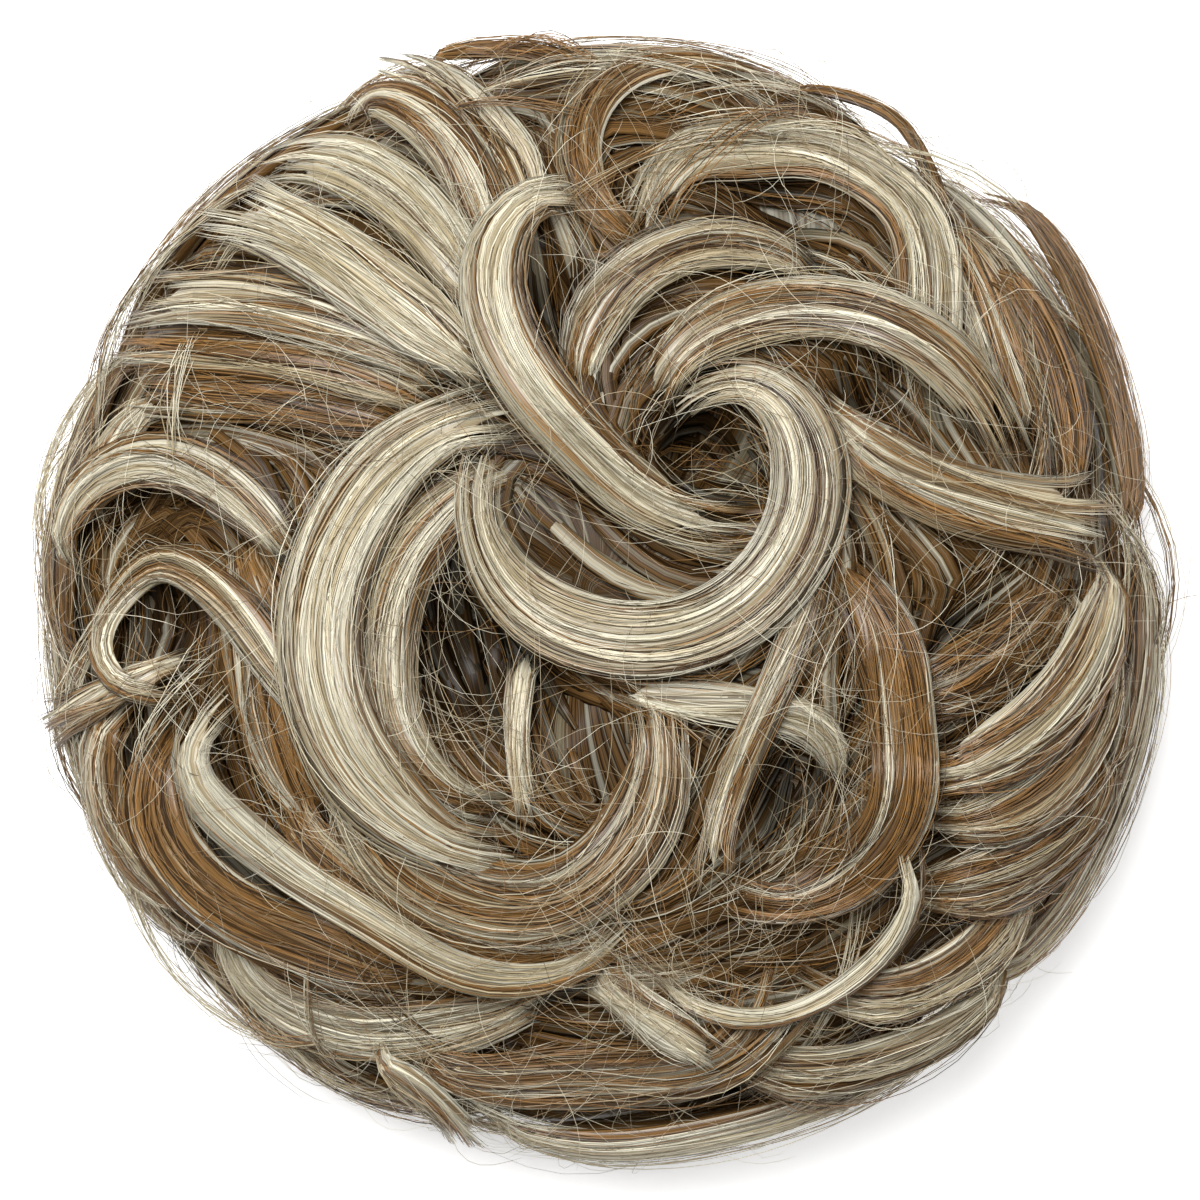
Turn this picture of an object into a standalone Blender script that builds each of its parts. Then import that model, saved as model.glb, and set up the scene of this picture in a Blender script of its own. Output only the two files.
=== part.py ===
"""Top knot hairpiece: curled locks of two-tone fibre over an under hair that is sewn round an elastic band.

Metres, +Z up. The hairpiece lies face up on a surface at z = 0, as it does when it is put down, and the
origin is the middle of its footprint. +Y is the edge that is uppermost when it is seen from above.

The under hair is a low dome with a hollow below, where the wearer's own knot goes. Each lock is a flat
swept bundle. The locks are laid on the dome one after another, in the order of their table, and each one
rests on the dome and on the locks that it crosses, so nothing passes through anything else.
"""

import math
from typing import NamedTuple

import bmesh
import bpy
import numpy as np

# Driving sizes of the whole hairpiece
BUN_RADIUS = 0.075
RIM_BULK = 0.0055
BED_RADIUS = BUN_RADIUS - RIM_BULK
BED_RISE = 0.029
BED_MIDDLE = 0.0155

# Elastic band and the hollow that it borders
BAND_RADIUS = 0.0235
BAND_THICKNESS = 0.006
BAND_FOOT = 0.001
BAND_GAP = 0.0003
LIP_INSET = 0.001
HOLLOW_WALL = 0.014
HOLLOW_HEIGHT = 0.026

# Flutes that the sewn fibre makes in the under hair
FLUTE_DEPTH = 0.0011
FLUTES = 12
FLUTE_SWIRL = 1.5

# How locks are shaped and laid
FLATNESS = 0.26
LAY_GAP = 0.0002
FACET_ALLOWANCE = 0.0001
BRIDGE_LENGTH = 0.002
SOFTEN_LENGTH = 0.004
STEP = 0.002
RING_SPACING = 0.0052
STEEPEST = math.radians(82)
TAPER_SHARE = 0.3
SETTLING_ROUNDS = 4
HALVINGS = 30
LAY_SHARES = (-1.0, -0.75, -0.5, -0.25, 0.0, 0.25, 0.5, 0.75, 1.0)

# Locks round the side of the under hair, below the widest level
SIDE_LOCKS = 7
SIDE_WIDTH = 0.011
SIDE_SPAN = math.radians(62)
SIDE_LOW = math.radians(109)
SIDE_HIGH = math.radians(91)

# Facets
SPIN_STEPS = 48
DOME_RINGS = 12
GROOVE_ARC_STEPS = 5
CEILING_ARC_STEPS = 4
LOCK_SIDES = 6
BAND_STEPS = 36
BAND_SIDES = 8


class Dent(NamedTuple):
    """A hollow place in the dome: its middle and radius as shares of BUN_RADIUS, its depth of BED_RISE."""

    x: float
    y: float
    radius: float
    depth: float


DENTS = (
    Dent(x=0.21, y=0.25, radius=0.19, depth=0.46),
    Dent(x=-0.20, y=-0.10, radius=0.24, depth=0.40),
    Dent(x=-0.76, y=-0.05, radius=0.14, depth=0.22),
    Dent(x=0.31, y=0.66, radius=0.18, depth=0.26),
    Dent(x=0.35, y=-0.34, radius=0.16, depth=0.26),
    Dent(x=-0.07, y=0.50, radius=0.12, depth=0.24),
    Dent(x=0.47, y=0.34, radius=0.12, depth=0.20),
    Dent(x=0.68, y=-0.08, radius=0.16, depth=0.18),
)


class Lock(NamedTuple):
    """A lock of hair: width and route as shares of BUN_RADIUS, start and finish as shares of the width.

    The route is the few places, seen from above, that the lock curls through. tone is a key of TONES.
    """

    name: str
    tone: str
    width: float
    start: float
    finish: float
    route: tuple


LOCKS = (
    # Rim, laid first
    Lock("rim_left", "mixed", 0.13, 0.4, 0.4, ((-0.79, 0.47), (-0.91, 0.28), (-0.95, 0.07), (-0.93, -0.16))),
    Lock("rim_left_low", "mixed", 0.12, 0.4, 0.4, ((-0.92, -0.07), (-0.90, -0.32), (-0.81, -0.51), (-0.68, -0.66))),
    Lock("rim_low_left", "blonde", 0.13, 0.4, 0.4, ((-0.69, -0.53), (-0.63, -0.69), (-0.47, -0.77), (-0.26, -0.76), (-0.06, -0.70))),
    Lock("rim_low_edge", "ash", 0.15, 0.4, 0.4, ((-0.27, -0.90), (-0.06, -0.97), (0.22, -0.95), (0.50, -0.85), (0.73, -0.67))),
    Lock("rim_low_right", "ash", 0.15, 0.4, 0.4, ((0.65, -0.73), (0.82, -0.54), (0.93, -0.30), (0.97, -0.07), (0.95, 0.14))),
    Lock("rim_right", "brown", 0.12, 0.4, 0.4, ((0.95, 0.07), (0.93, 0.28), (0.87, 0.48), (0.78, 0.65), (0.69, 0.74))),
    Lock("rim_up_right", "brown", 0.06, 0.4, 0.4, ((0.31, 0.90), (0.47, 0.87), (0.59, 0.81), (0.68, 0.70))),
    Lock("rim_top", "brown", 0.08, 0.4, 0.4, ((-0.33, 0.94), (-0.20, 0.96), (-0.07, 0.95), (0.03, 0.88))),
    # Left side and lower left
    Lock("left_shoulder", "blonde", 0.08, 0.5, 0.5, ((-0.77, 0.35), (-0.86, 0.25), (-0.90, 0.12))),
    Lock("left_fall_low", "mixed", 0.11, 0.4, 0.4, ((-0.84, -0.18), (-0.87, -0.34), (-0.81, -0.48), (-0.69, -0.57))),
    Lock("left_fall_brown", "brown", 0.13, 0.4, 0.5, ((-0.64, 0.11), (-0.58, -0.04), (-0.56, -0.22), (-0.46, -0.43))),
    Lock("left_fall_wide", "brown", 0.15, 0.4, 0.4, ((-0.74, -0.20), (-0.78, -0.37), (-0.67, -0.53), (-0.48, -0.63), (-0.27, -0.69))),
    Lock("low_brown", "brown", 0.14, 0.5, 0.5, ((-0.57, -0.34), (-0.45, -0.48), (-0.29, -0.59), (-0.06, -0.62), (0.08, -0.55))),
    # Right side and lower right
    Lock("right_dark", "brown", 0.14, 0.5, 0.5, ((0.83, 0.03), (0.73, -0.09), (0.62, -0.16), (0.52, -0.19))),
    Lock("right_sweep_lowest", "ash", 0.13, 0.4, 0.4, ((0.75, -0.65), (0.58, -0.79), (0.38, -0.84), (0.17, -0.81))),
    Lock("right_sweep_lower", "mixed", 0.12, 0.4, 0.4, ((0.80, -0.45), (0.70, -0.60), (0.54, -0.70), (0.35, -0.72))),
    Lock("right_sweep_low", "brown", 0.14, 0.4, 0.4, ((0.91, -0.25), (0.84, -0.41), (0.69, -0.50), (0.51, -0.52))),
    Lock("right_sweep_middle", "mixed", 0.13, 0.4, 0.4, ((0.90, 0.02), (0.88, -0.18), (0.77, -0.34), (0.54, -0.40))),
    Lock("right_sweep_inner", "ash", 0.14, 0.4, 0.4, ((0.91, 0.08), (0.85, -0.12), (0.72, -0.26), (0.55, -0.33))),
    Lock("right_fall", "ash", 0.16, 0.4, 0.5, ((0.65, 0.73), (0.73, 0.58), (0.77, 0.42), (0.77, 0.25))),
    Lock("right_fall_outer", "brown", 0.09, 0.4, 0.4, ((0.69, 0.60), (0.78, 0.47), (0.83, 0.31), (0.83, 0.15))),
    # Bottom
    Lock("low_sweep", "mixed", 0.14, 0.4, 1.0, ((-0.36, -0.81), (-0.13, -0.86), (0.12, -0.85), (0.27, -0.77), (0.33, -0.63))),
    Lock("low_flat", "blonde", 0.08, 0.8, 0.8, ((-0.01, -0.65), (0.10, -0.73), (0.21, -0.81))),
    Lock("low_left_tuft", "ash", 0.07, 0.4, 1.2, ((-0.40, -0.80), (-0.29, -0.88), (-0.21, -0.97))),
    # Fan at the upper left
    Lock("fan_top", "ash", 0.12, 0.4, 0.7, ((-0.11, 0.62), (-0.17, 0.79), (-0.27, 0.90), (-0.40, 0.93))),
    Lock("fan_fold", "ash", 0.10, 0.3, 0.7, ((-0.16, 0.47), (-0.21, 0.70), (-0.32, 0.84), (-0.42, 0.87), (-0.43, 0.80))),
    Lock("fan_high", "blonde", 0.12, 0.3, 0.6, ((-0.15, 0.43), (-0.26, 0.60), (-0.38, 0.74), (-0.50, 0.79), (-0.61, 0.75))),
    Lock("fan_brown", "brown", 0.12, 0.3, 0.7, ((-0.30, 0.28), (-0.44, 0.33), (-0.64, 0.36), (-0.83, 0.38))),
    Lock("fan_middle", "mixed", 0.11, 0.3, 0.8, ((-0.25, 0.31), (-0.43, 0.39), (-0.65, 0.43), (-0.86, 0.45))),
    Lock("fan_ash", "ash", 0.11, 0.3, 0.8, ((-0.24, 0.35), (-0.44, 0.47), (-0.64, 0.51), (-0.83, 0.50))),
    Lock("fan_bright", "blonde", 0.13, 0.3, 1.0, ((-0.17, 0.36), (-0.35, 0.50), (-0.52, 0.62), (-0.68, 0.68))),
    # Left curls
    Lock("left_curl_outer", "ash", 0.105, 0.4, 0.5, ((-0.51, 0.02), (-0.63, 0.18), (-0.79, 0.24), (-0.91, 0.17), (-0.94, 0.01))),
    Lock("left_tuft", "ash", 0.06, 0.4, 1.2, ((-0.72, -0.11), (-0.86, -0.18), (-0.99, -0.24))),
    Lock("left_curl_inner", "ash", 0.07, 0.5, 0.4, ((-0.44, -0.30), (-0.55, -0.13), (-0.67, 0.02), (-0.80, 0.06), (-0.89, -0.03), (-0.85, -0.15), (-0.72, -0.18))),
    # Middle
    Lock("middle_band", "ash", 0.07, 0.4, 0.4, ((0.00, -0.16), (0.15, -0.19), (0.31, -0.20), (0.44, -0.27), (0.48, -0.40))),
    Lock("pocket_lock", "blonde", 0.045, 0.8, 0.8, ((-0.12, -0.10), (-0.14, -0.25), (-0.12, -0.40))),
    Lock("low_ring", "mixed", 0.15, 0.4, 0.4, ((-0.46, -0.18), (-0.39, -0.39), (-0.25, -0.51), (-0.07, -0.53), (0.06, -0.43), (0.11, -0.27), (0.08, -0.14))),
    Lock("low_blonde", "blonde", 0.08, 0.5, 0.4, ((-0.65, -0.16), (-0.72, -0.27), (-0.62, -0.42), (-0.40, -0.56), (-0.20, -0.67), (-0.04, -0.66), (0.08, -0.58))),
    Lock("drop_right", "brown", 0.125, 0.4, 0.4, ((0.39, 0.08), (0.49, -0.04), (0.53, -0.24), (0.50, -0.42), (0.37, -0.53), (0.22, -0.53))),
    Lock("drop_left", "mixed", 0.07, 0.5, 0.8, ((0.39, 0.07), (0.34, -0.09), (0.26, -0.27), (0.20, -0.43), (0.20, -0.53))),
    Lock("low_blonde_thin", "blonde", 0.045, 0.6, 0.4, ((0.54, -0.43), (0.53, -0.58), (0.43, -0.68), (0.26, -0.74), (0.08, -0.65))),
    # Upper right
    Lock("top_hook", "mixed", 0.085, 0.5, 0.6, ((0.11, 0.60), (0.00, 0.66), (-0.04, 0.78), (0.02, 0.90), (0.17, 0.94), (0.34, 0.89))),
    Lock("upper_ring", "blonde", 0.13, 0.4, 0.8, ((0.08, 0.61), (0.12, 0.74), (0.26, 0.82), (0.42, 0.82), (0.54, 0.71), (0.58, 0.53), (0.54, 0.31))),
    Lock("upper_arc", "mixed", 0.10, 0.4, 0.5, ((-0.03, 0.31), (-0.01, 0.47), (0.10, 0.58), (0.24, 0.61), (0.41, 0.54))),
    Lock("right_arc", "mixed", 0.12, 0.4, 0.6, ((0.08, 0.30), (0.15, 0.43), (0.30, 0.49), (0.47, 0.48), (0.63, 0.38), (0.73, 0.20))),
    Lock("right_flat", "ash", 0.13, 0.3, 1.0, ((0.37, 0.36), (0.44, 0.26), (0.57, 0.18), (0.73, 0.14), (0.91, 0.12))),
    # Crown, laid last
    Lock("loop_inner", "mixed", 0.11, 0.4, 0.4, ((-0.09, 0.24), (-0.23, 0.18), (-0.34, 0.05), (-0.38, -0.11), (-0.34, -0.27), (-0.23, -0.37), (-0.13, -0.39))),
    Lock("loop_outer", "blonde", 0.15, 0.5, 0.4, ((-0.12, 0.32), (-0.30, 0.27), (-0.43, 0.12), (-0.48, -0.07), (-0.43, -0.27), (-0.28, -0.42), (-0.11, -0.47))),
    Lock("diagonal", "blonde", 0.115, 0.45, 0.6, ((0.00, 0.71), (-0.13, 0.68), (-0.19, 0.56), (-0.15, 0.41), (-0.03, 0.26), (0.14, 0.13), (0.30, 0.12))),
    Lock("centre_swirl", "blonde", 0.13, 0.35, 0.35, ((0.11, 0.30), (0.19, 0.37), (0.30, 0.36), (0.37, 0.24), (0.34, 0.07), (0.20, -0.06), (0.01, -0.08), (-0.15, 0.00), (-0.21, 0.12), (-0.19, 0.28))),
)

# Base colour and roughness of each tone of fibre, and of the elastic
TONES = {
    "blonde": ((0.72, 0.62, 0.42), 0.42),
    "ash": ((0.50, 0.43, 0.32), 0.48),
    "mixed": ((0.42, 0.31, 0.19), 0.46),
    "brown": ((0.27, 0.16, 0.08), 0.46),
    "under": ((0.20, 0.13, 0.07), 0.55),
    "elastic": ((0.10, 0.07, 0.05), 0.80),
}

SEMI_AXES = np.array((BED_RADIUS, BED_RADIUS, BED_RISE))
MIDDLE = np.array((0.0, 0.0, BED_MIDDLE))
FOOT_ANGLE = math.acos(-BED_MIDDLE / BED_RISE)


def clear_scene():
    for obj in list(bpy.data.objects):
        bpy.data.objects.remove(obj, do_unlink=True)


def material(tone):
    """The Principled BSDF for one tone, made once and shared by the locks that wear it."""
    made = bpy.data.materials.get(tone)
    if made is None:
        made = bpy.data.materials.new(tone)
        made.use_nodes = True
        colour, roughness = TONES[tone]
        shader = made.node_tree.nodes["Principled BSDF"]
        shader.inputs["Base Color"].default_value = (*colour, 1.0)
        shader.inputs["Roughness"].default_value = roughness
        shader.inputs["Metallic"].default_value = 0.0
    return made


def add_object(name, bm, tone):
    """Turns a bmesh into a named, smooth shaded object."""
    bmesh.ops.recalc_face_normals(bm, faces=bm.faces)
    mesh = bpy.data.meshes.new(name)
    bm.to_mesh(mesh)
    bm.free()
    mesh.shade_smooth()
    mesh.materials.append(material(tone))
    obj = bpy.data.objects.new(name, mesh)
    bpy.context.scene.collection.objects.link(obj)
    return obj


def unit(vectors):
    return vectors / np.linalg.norm(vectors, axis=-1, keepdims=True)


def smoothstep(share):
    share = np.clip(share, 0.0, 1.0)
    return share * share * (3.0 - 2.0 * share)


def dome_normal(direction):
    """The way out of the dome at a direction from its middle."""
    return unit(direction / SEMI_AXES)


def dome_point(direction, lift=0.0):
    """The point of the dome in a direction from its middle, lifted off it by this much."""
    return MIDDLE + direction * SEMI_AXES + dome_normal(direction) * np.asarray(lift)[..., None]


def direction_to(points):
    """The direction on the dome that points on it, or near it, lie in."""
    return unit((points - MIDDLE) / SEMI_AXES)


def dome_lift(direction):
    """How far the under hair's surface stands over the plain dome: flutes, less the dents."""
    slope = np.arccos(np.clip(direction[..., 2], -1.0, 1.0))
    around = np.arctan2(direction[..., 1], direction[..., 0])
    fade = np.sin(np.pi * np.clip(slope / FOOT_ANGLE, 0.0, 1.0)) ** 2
    lift = FLUTE_DEPTH * fade * np.cos(FLUTES * around + FLUTES * FLUTE_SWIRL * slope / math.pi)
    plan = dome_point(direction)[..., :2] / BUN_RADIUS
    for dent in DENTS:
        away = np.hypot(plan[..., 0] - dent.x, plan[..., 1] - dent.y) / dent.radius
        lift = lift - dent.depth * BED_RISE * (1.0 - smoothstep(away)) * (direction[..., 2] > 0)
    return lift


def arc_between(start, end, other, share):
    """Places from start to end on the circle through three points, by the way that misses the third."""
    chord, spoke = end - start, other - start
    area = (np.conj(chord) * spoke).imag
    if abs(area) < 1e-4:
        return start + chord * share
    centre = start + 1j * (chord * abs(spoke) ** 2 - spoke * abs(chord) ** 2) / (2.0 * area)
    angle = np.angle((end - centre) / (start - centre))
    passed = np.angle((other - centre) / (start - centre))
    if 0.0 < passed / angle < 1.0:
        angle -= math.copysign(2.0 * math.pi, angle)
    return centre + (start - centre) * np.exp(1j * angle * share)


def smooth_route(places, spacing):
    """Evenly spaced points, as shares, on arcs through the places, blended where two arcs meet."""
    knots = [complex(*place) for place in places]
    share = np.linspace(0.0, 1.0, 24, endpoint=False)
    pieces = []
    for i, (start, end) in enumerate(zip(knots, knots[1:])):
        arcs = []
        if i > 0:
            arcs.append(arc_between(start, end, knots[i - 1], share))
        if i + 2 < len(knots):
            arcs.append(arc_between(start, end, knots[i + 2], share))
        blend = smoothstep(share)
        pieces.append(arcs[0] * (1.0 - blend) + arcs[-1] * blend)
    fine = np.append(np.concatenate(pieces), knots[-1])
    along = np.append(0.0, np.cumsum(np.abs(np.diff(fine))))
    steps = max(6, round(along[-1] * BUN_RADIUS / spacing))
    even = np.linspace(0.0, along[-1], steps + 1)
    return np.stack([np.interp(even, along, fine.real), np.interp(even, along, fine.imag)], axis=1)


def plan_directions(plan, lift):
    """Directions whose lifted points have these places in plan, and how far those stand off the pile."""
    reach = np.hypot(plan[:, 0], plan[:, 1]) * BUN_RADIUS
    around = np.arctan2(plan[:, 1], plan[:, 0])
    low, high = np.zeros(len(plan)), np.full(len(plan), math.sin(STEEPEST))
    for _ in range(HALVINGS):
        sine = (low + high) / 2
        cosine = np.sqrt(1.0 - sine**2)
        lean = sine * BED_RISE / np.hypot(sine * BED_RISE, cosine * BED_RADIUS)
        got = BED_RADIUS * sine + lift * lean
        low = np.where(got < reach, sine, low)
        high = np.where(got < reach, high, sine)
    direction = np.stack([sine * np.cos(around), sine * np.sin(around), cosine], axis=1)
    return direction, np.maximum(0.0, reach - got) / np.maximum(lean, 0.5)


def pile_height(points, pile):
    """The lift of the top of the pile at points on the dome: under hair, and locks already laid."""
    height = dome_lift(direction_to(points))
    for laid in pile:
        away = np.linalg.norm(points[:, None, :] - laid["on_dome"][None, :, :], axis=2)
        nearest = away.argmin(axis=1)
        half = laid["half"][nearest]
        share = away.min(axis=1) / (half + FACET_ALLOWANCE)
        top = laid["lift"][nearest] + half * FLATNESS * bulge(share)
        height = np.where(share < 1.0, np.maximum(height, top), height)
    return height


def bulge(share):
    """How thick a lock is at a share of its half width from the middle, as a share of its full thickness."""
    return np.sqrt(np.clip(1.0 - np.square(share), 0.0, 1.0))


def bridged(height, step):
    """A lock's own bend over the pile: it spans short gaps and is nowhere below the pile."""
    wide = max(1, round((BRIDGE_LENGTH + SOFTEN_LENGTH) / step))
    soft = max(1, round(SOFTEN_LENGTH / step))
    padded = np.pad(height, wide, mode="edge")
    highest = np.array([padded[i : i + 2 * wide + 1].max() for i in range(len(height))])
    padded = np.pad(highest, soft, mode="edge")
    return np.array([padded[i : i + 2 * soft + 1].mean() for i in range(len(height))])


def route_frame(direction):
    """The dome's points under a route, and the unit vectors across the route."""
    on_dome = dome_point(direction)
    along = unit(np.gradient(on_dome, axis=0))
    return on_dome, unit(np.cross(dome_normal(direction), along))


def taper(steps, start, finish):
    """The lock's width along it, as a share: it swells from start to 1 and closes to finish."""
    share = np.linspace(0.0, 1.0, steps)
    opening = start + (1.0 - start) * smoothstep(share / TAPER_SHARE)
    closing = finish + (1.0 - finish) * smoothstep((1.0 - share) / TAPER_SHARE)
    return opening * closing


def lay(half, direction_at, pile):
    """Lays a lock on the pile. direction_at gives its directions, and its stand-off, for a lift."""
    lift = np.full(len(half), half.mean() * FLATNESS)
    for _ in range(SETTLING_ROUNDS):
        direction, stand_off = direction_at(lift)
        on_dome, across = route_frame(direction)
        need = [
            pile_height(on_dome + share * half[:, None] * across, pile) + half * FLATNESS * bulge(share)
            for share in LAY_SHARES
        ]
        lift = bridged(np.max(need, axis=0), STEP) + LAY_GAP + FACET_ALLOWANCE
    lift = lift + stand_off
    return {
        "direction": direction,
        "across": across,
        "on_dome": on_dome,
        "half": half,
        "lift": lift,
    }


def lock_rings(laid):
    """Flattened rings of points round a laid lock, RING_SPACING apart."""
    count = len(laid["half"])
    picked = np.round(np.linspace(0, count - 1, max(4, round(count * STEP / RING_SPACING) + 1))).astype(int)
    turns = np.arange(LOCK_SIDES) * 2.0 * np.pi / LOCK_SIDES
    for i in picked:
        middle = dome_point(laid["direction"][i], laid["lift"][i])
        side = laid["across"][i] * laid["half"][i]
        up = dome_normal(laid["direction"][i]) * laid["half"][i] * FLATNESS
        yield [middle + side * math.cos(turn) + up * math.sin(turn) for turn in turns]


def add_lock(name, tone, laid):
    bm = bmesh.new()
    loops = []
    for ring in lock_rings(laid):
        corners = [bm.verts.new(point) for point in ring]
        loops.append([bm.edges.new((corners[i - 1], corners[i])) for i in range(len(corners))])
    for one, other in zip(loops, loops[1:]):
        bmesh.ops.bridge_loops(bm, edges=one + other)
    for end in (loops[0], loops[-1]):
        bmesh.ops.edgeloop_fill(bm, edges=end)
    return add_object(name, bm, tone)


def under_hair_profile():
    """The half section of the under hair: over the dome, in under it, round the band and up the hollow."""
    slopes = np.linspace(0.0, FOOT_ANGLE, DOME_RINGS + 1)
    dome = [(BED_RADIUS * math.sin(a), BED_MIDDLE + BED_RISE * math.cos(a)) for a in slopes]
    wall_radius = BAND_RADIUS + LIP_INSET
    groove_radius = BAND_THICKNESS / 2 + BAND_GAP
    band_height = BAND_FOOT + BAND_THICKNESS / 2
    open_angle = math.acos(LIP_INSET / groove_radius)
    groove = [
        (BAND_RADIUS + groove_radius * math.cos(a), band_height + groove_radius * math.sin(a))
        for a in np.linspace(-open_angle, open_angle, GROOVE_ARC_STEPS + 1)
    ]
    ceiling = [
        (wall_radius * math.cos(a), HOLLOW_WALL + (HOLLOW_HEIGHT - HOLLOW_WALL) * math.sin(a))
        for a in np.linspace(0.0, math.pi / 2, CEILING_ARC_STEPS + 1)
    ]
    ceiling[-1] = (0.0, HOLLOW_HEIGHT)
    return [*dome, (wall_radius, 0.0), *groove, *ceiling]


def add_under_hair():
    bm = bmesh.new()
    section = [bm.verts.new((radius, 0.0, height)) for radius, height in under_hair_profile()]
    edges = [bm.edges.new(pair) for pair in zip(section, section[1:])]
    bmesh.ops.spin(
        bm,
        geom=[*section, *edges],
        axis=(0, 0, 1),
        cent=(0, 0, 0),
        angle=2.0 * math.pi,
        steps=SPIN_STEPS,
        use_merge=True,
    )
    bmesh.ops.remove_doubles(bm, verts=bm.verts, dist=1e-6)
    for vert in bm.verts:
        offset = (np.array(vert.co) - MIDDLE) / SEMI_AXES
        if abs(np.linalg.norm(offset) - 1.0) < 1e-4:
            direction = unit(offset)
            vert.co = dome_point(direction, dome_lift(direction))
    return add_object("under_hair", bm, "under")


def add_elastic_band():
    bm = bmesh.new()
    height = BAND_FOOT + BAND_THICKNESS / 2
    turns = np.arange(BAND_SIDES) * 2.0 * np.pi / BAND_SIDES
    corners = [
        bm.verts.new(
            (BAND_RADIUS + BAND_THICKNESS / 2 * math.cos(a), 0.0, height + BAND_THICKNESS / 2 * math.sin(a))
        )
        for a in turns
    ]
    edges = [bm.edges.new((corners[i - 1], corners[i])) for i in range(len(corners))]
    bmesh.ops.spin(
        bm,
        geom=[*corners, *edges],
        axis=(0, 0, 1),
        cent=(0, 0, 0),
        angle=2.0 * math.pi,
        steps=BAND_STEPS,
        use_merge=True,
    )
    bmesh.ops.remove_doubles(bm, verts=bm.verts, dist=1e-6)
    return add_object("elastic_band", bm, "elastic")


def add_side_locks(pile):
    """Locks that wrap the side, one after another round it, each rising over the start of the next."""
    made = []
    length = BED_RADIUS * SIDE_SPAN
    steps = round(length / STEP)
    share = np.linspace(0.0, 1.0, steps)
    half = SIDE_WIDTH / 2 * taper(steps, 0.4, 0.4)
    slope = SIDE_LOW + (SIDE_HIGH - SIDE_LOW) * np.sin(np.pi * share) ** 2
    for i in range(SIDE_LOCKS):
        around = 2.0 * np.pi * i / SIDE_LOCKS + SIDE_SPAN * share
        direction = np.stack(
            [np.sin(slope) * np.cos(around), np.sin(slope) * np.sin(around), np.cos(slope)], axis=1
        )
        laid = lay(half, lambda lift, fixed=direction: (fixed, 0.0), pile)
        pile.append(laid)
        made.append(add_lock(f"side_lock_{i + 1}", "mixed", laid))
    return made


def add_table_locks(pile):
    made = []
    for row in LOCKS:
        plan = smooth_route(row.route, STEP)
        half = row.width * BUN_RADIUS / 2 * taper(len(plan), row.start, row.finish)
        laid = lay(half, lambda lift, fixed=plan: plan_directions(fixed, lift), pile)
        pile.append(laid)
        made.append(add_lock(row.name, row.tone, laid))
    return made


def centre_on_origin(objects):
    """Carries every piece on an empty, moved so that the middle of the footprint is the origin."""
    corners = np.array([corner[:] for obj in objects for corner in obj.bound_box])
    footing = bpy.data.objects.new("footing", None)
    bpy.context.scene.collection.objects.link(footing)
    middle = (corners.min(axis=0) + corners.max(axis=0)) / 2
    footing.location = (-middle[0], -middle[1], 0.0)
    for obj in objects:
        obj.parent = footing


def main():
    clear_scene()
    pile = []
    pieces = [add_elastic_band(), add_under_hair()]
    pieces += add_side_locks(pile)
    pieces += add_table_locks(pile)
    centre_on_origin(pieces)


main()
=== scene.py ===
"""Dresses the top knot hairpiece: two-tone fibre on every lock, the hair between them, and loose hairs.

The locks follow the same table and the same rules as the part's own source, so every bundle of fibre lies
where its solid lies. Lengths are metres. The photo looks straight down, with +Y at its upper edge.
"""

import math
from typing import NamedTuple

import bmesh
import bpy
import numpy as np
from bpy.props import FloatProperty, FloatVectorProperty, IntProperty, PointerProperty
from mathutils import Matrix, Vector


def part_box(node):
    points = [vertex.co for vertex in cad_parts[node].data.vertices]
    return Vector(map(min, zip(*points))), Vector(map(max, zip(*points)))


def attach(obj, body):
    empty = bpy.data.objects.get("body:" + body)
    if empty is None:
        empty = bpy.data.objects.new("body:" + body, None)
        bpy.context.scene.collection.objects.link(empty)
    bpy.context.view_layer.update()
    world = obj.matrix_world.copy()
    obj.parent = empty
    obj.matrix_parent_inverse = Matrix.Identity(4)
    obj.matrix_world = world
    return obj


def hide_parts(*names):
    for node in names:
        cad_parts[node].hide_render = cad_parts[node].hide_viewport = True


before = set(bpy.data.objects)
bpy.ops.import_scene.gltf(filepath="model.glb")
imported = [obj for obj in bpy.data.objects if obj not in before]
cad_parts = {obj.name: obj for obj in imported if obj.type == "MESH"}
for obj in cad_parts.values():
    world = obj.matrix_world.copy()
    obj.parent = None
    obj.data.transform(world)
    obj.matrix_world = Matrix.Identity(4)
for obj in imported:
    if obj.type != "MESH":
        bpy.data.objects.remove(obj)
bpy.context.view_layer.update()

bl_info = {
    "name": "Top Knot Hairpiece",
    "version": (1, 0, 0),
    "blender": (4, 5, 0),
    "location": "View3D > Sidebar > Hairpiece",
    "description": "Builds the fibre, the elastic and the stage of a messy top knot hairpiece",
    "category": "Object",
}

# Sizes of the solids, as the part's source has them
BUN_RADIUS = 0.075
RIM_BULK = 0.0055
BED_RADIUS = BUN_RADIUS - RIM_BULK
BED_RISE = 0.029
BED_MIDDLE = 0.0155
BAND_RADIUS = 0.0235
BAND_THICKNESS = 0.006
BAND_FOOT = 0.001
LIP_INSET = 0.001
HOLLOW_WALL = 0.014
HOLLOW_HEIGHT = 0.026
FLUTE_DEPTH = 0.0011
FLUTES = 12
FLUTE_SWIRL = 1.5
FLATNESS = 0.26
LAY_GAP = 0.0002
FACET_ALLOWANCE = 0.0001
BRIDGE_LENGTH = 0.002
SOFTEN_LENGTH = 0.004
STEP = 0.002
STEEPEST = math.radians(82)
TAPER_SHARE = 0.3
SETTLING_ROUNDS = 4
HALVINGS = 30
ARC_POINTS = 24
FEWEST_STEPS = 6
STRAIGHT_AREA = 1e-4
LAY_SHARES = (-1.0, -0.75, -0.5, -0.25, 0.0, 0.25, 0.5, 0.75, 1.0)
SIDE_LOCKS = 7
SIDE_WIDTH = 0.011
SIDE_SPAN = math.radians(62)
SIDE_LOW = math.radians(109)
SIDE_HIGH = math.radians(91)
SIDE_TAPER = 0.4

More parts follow.
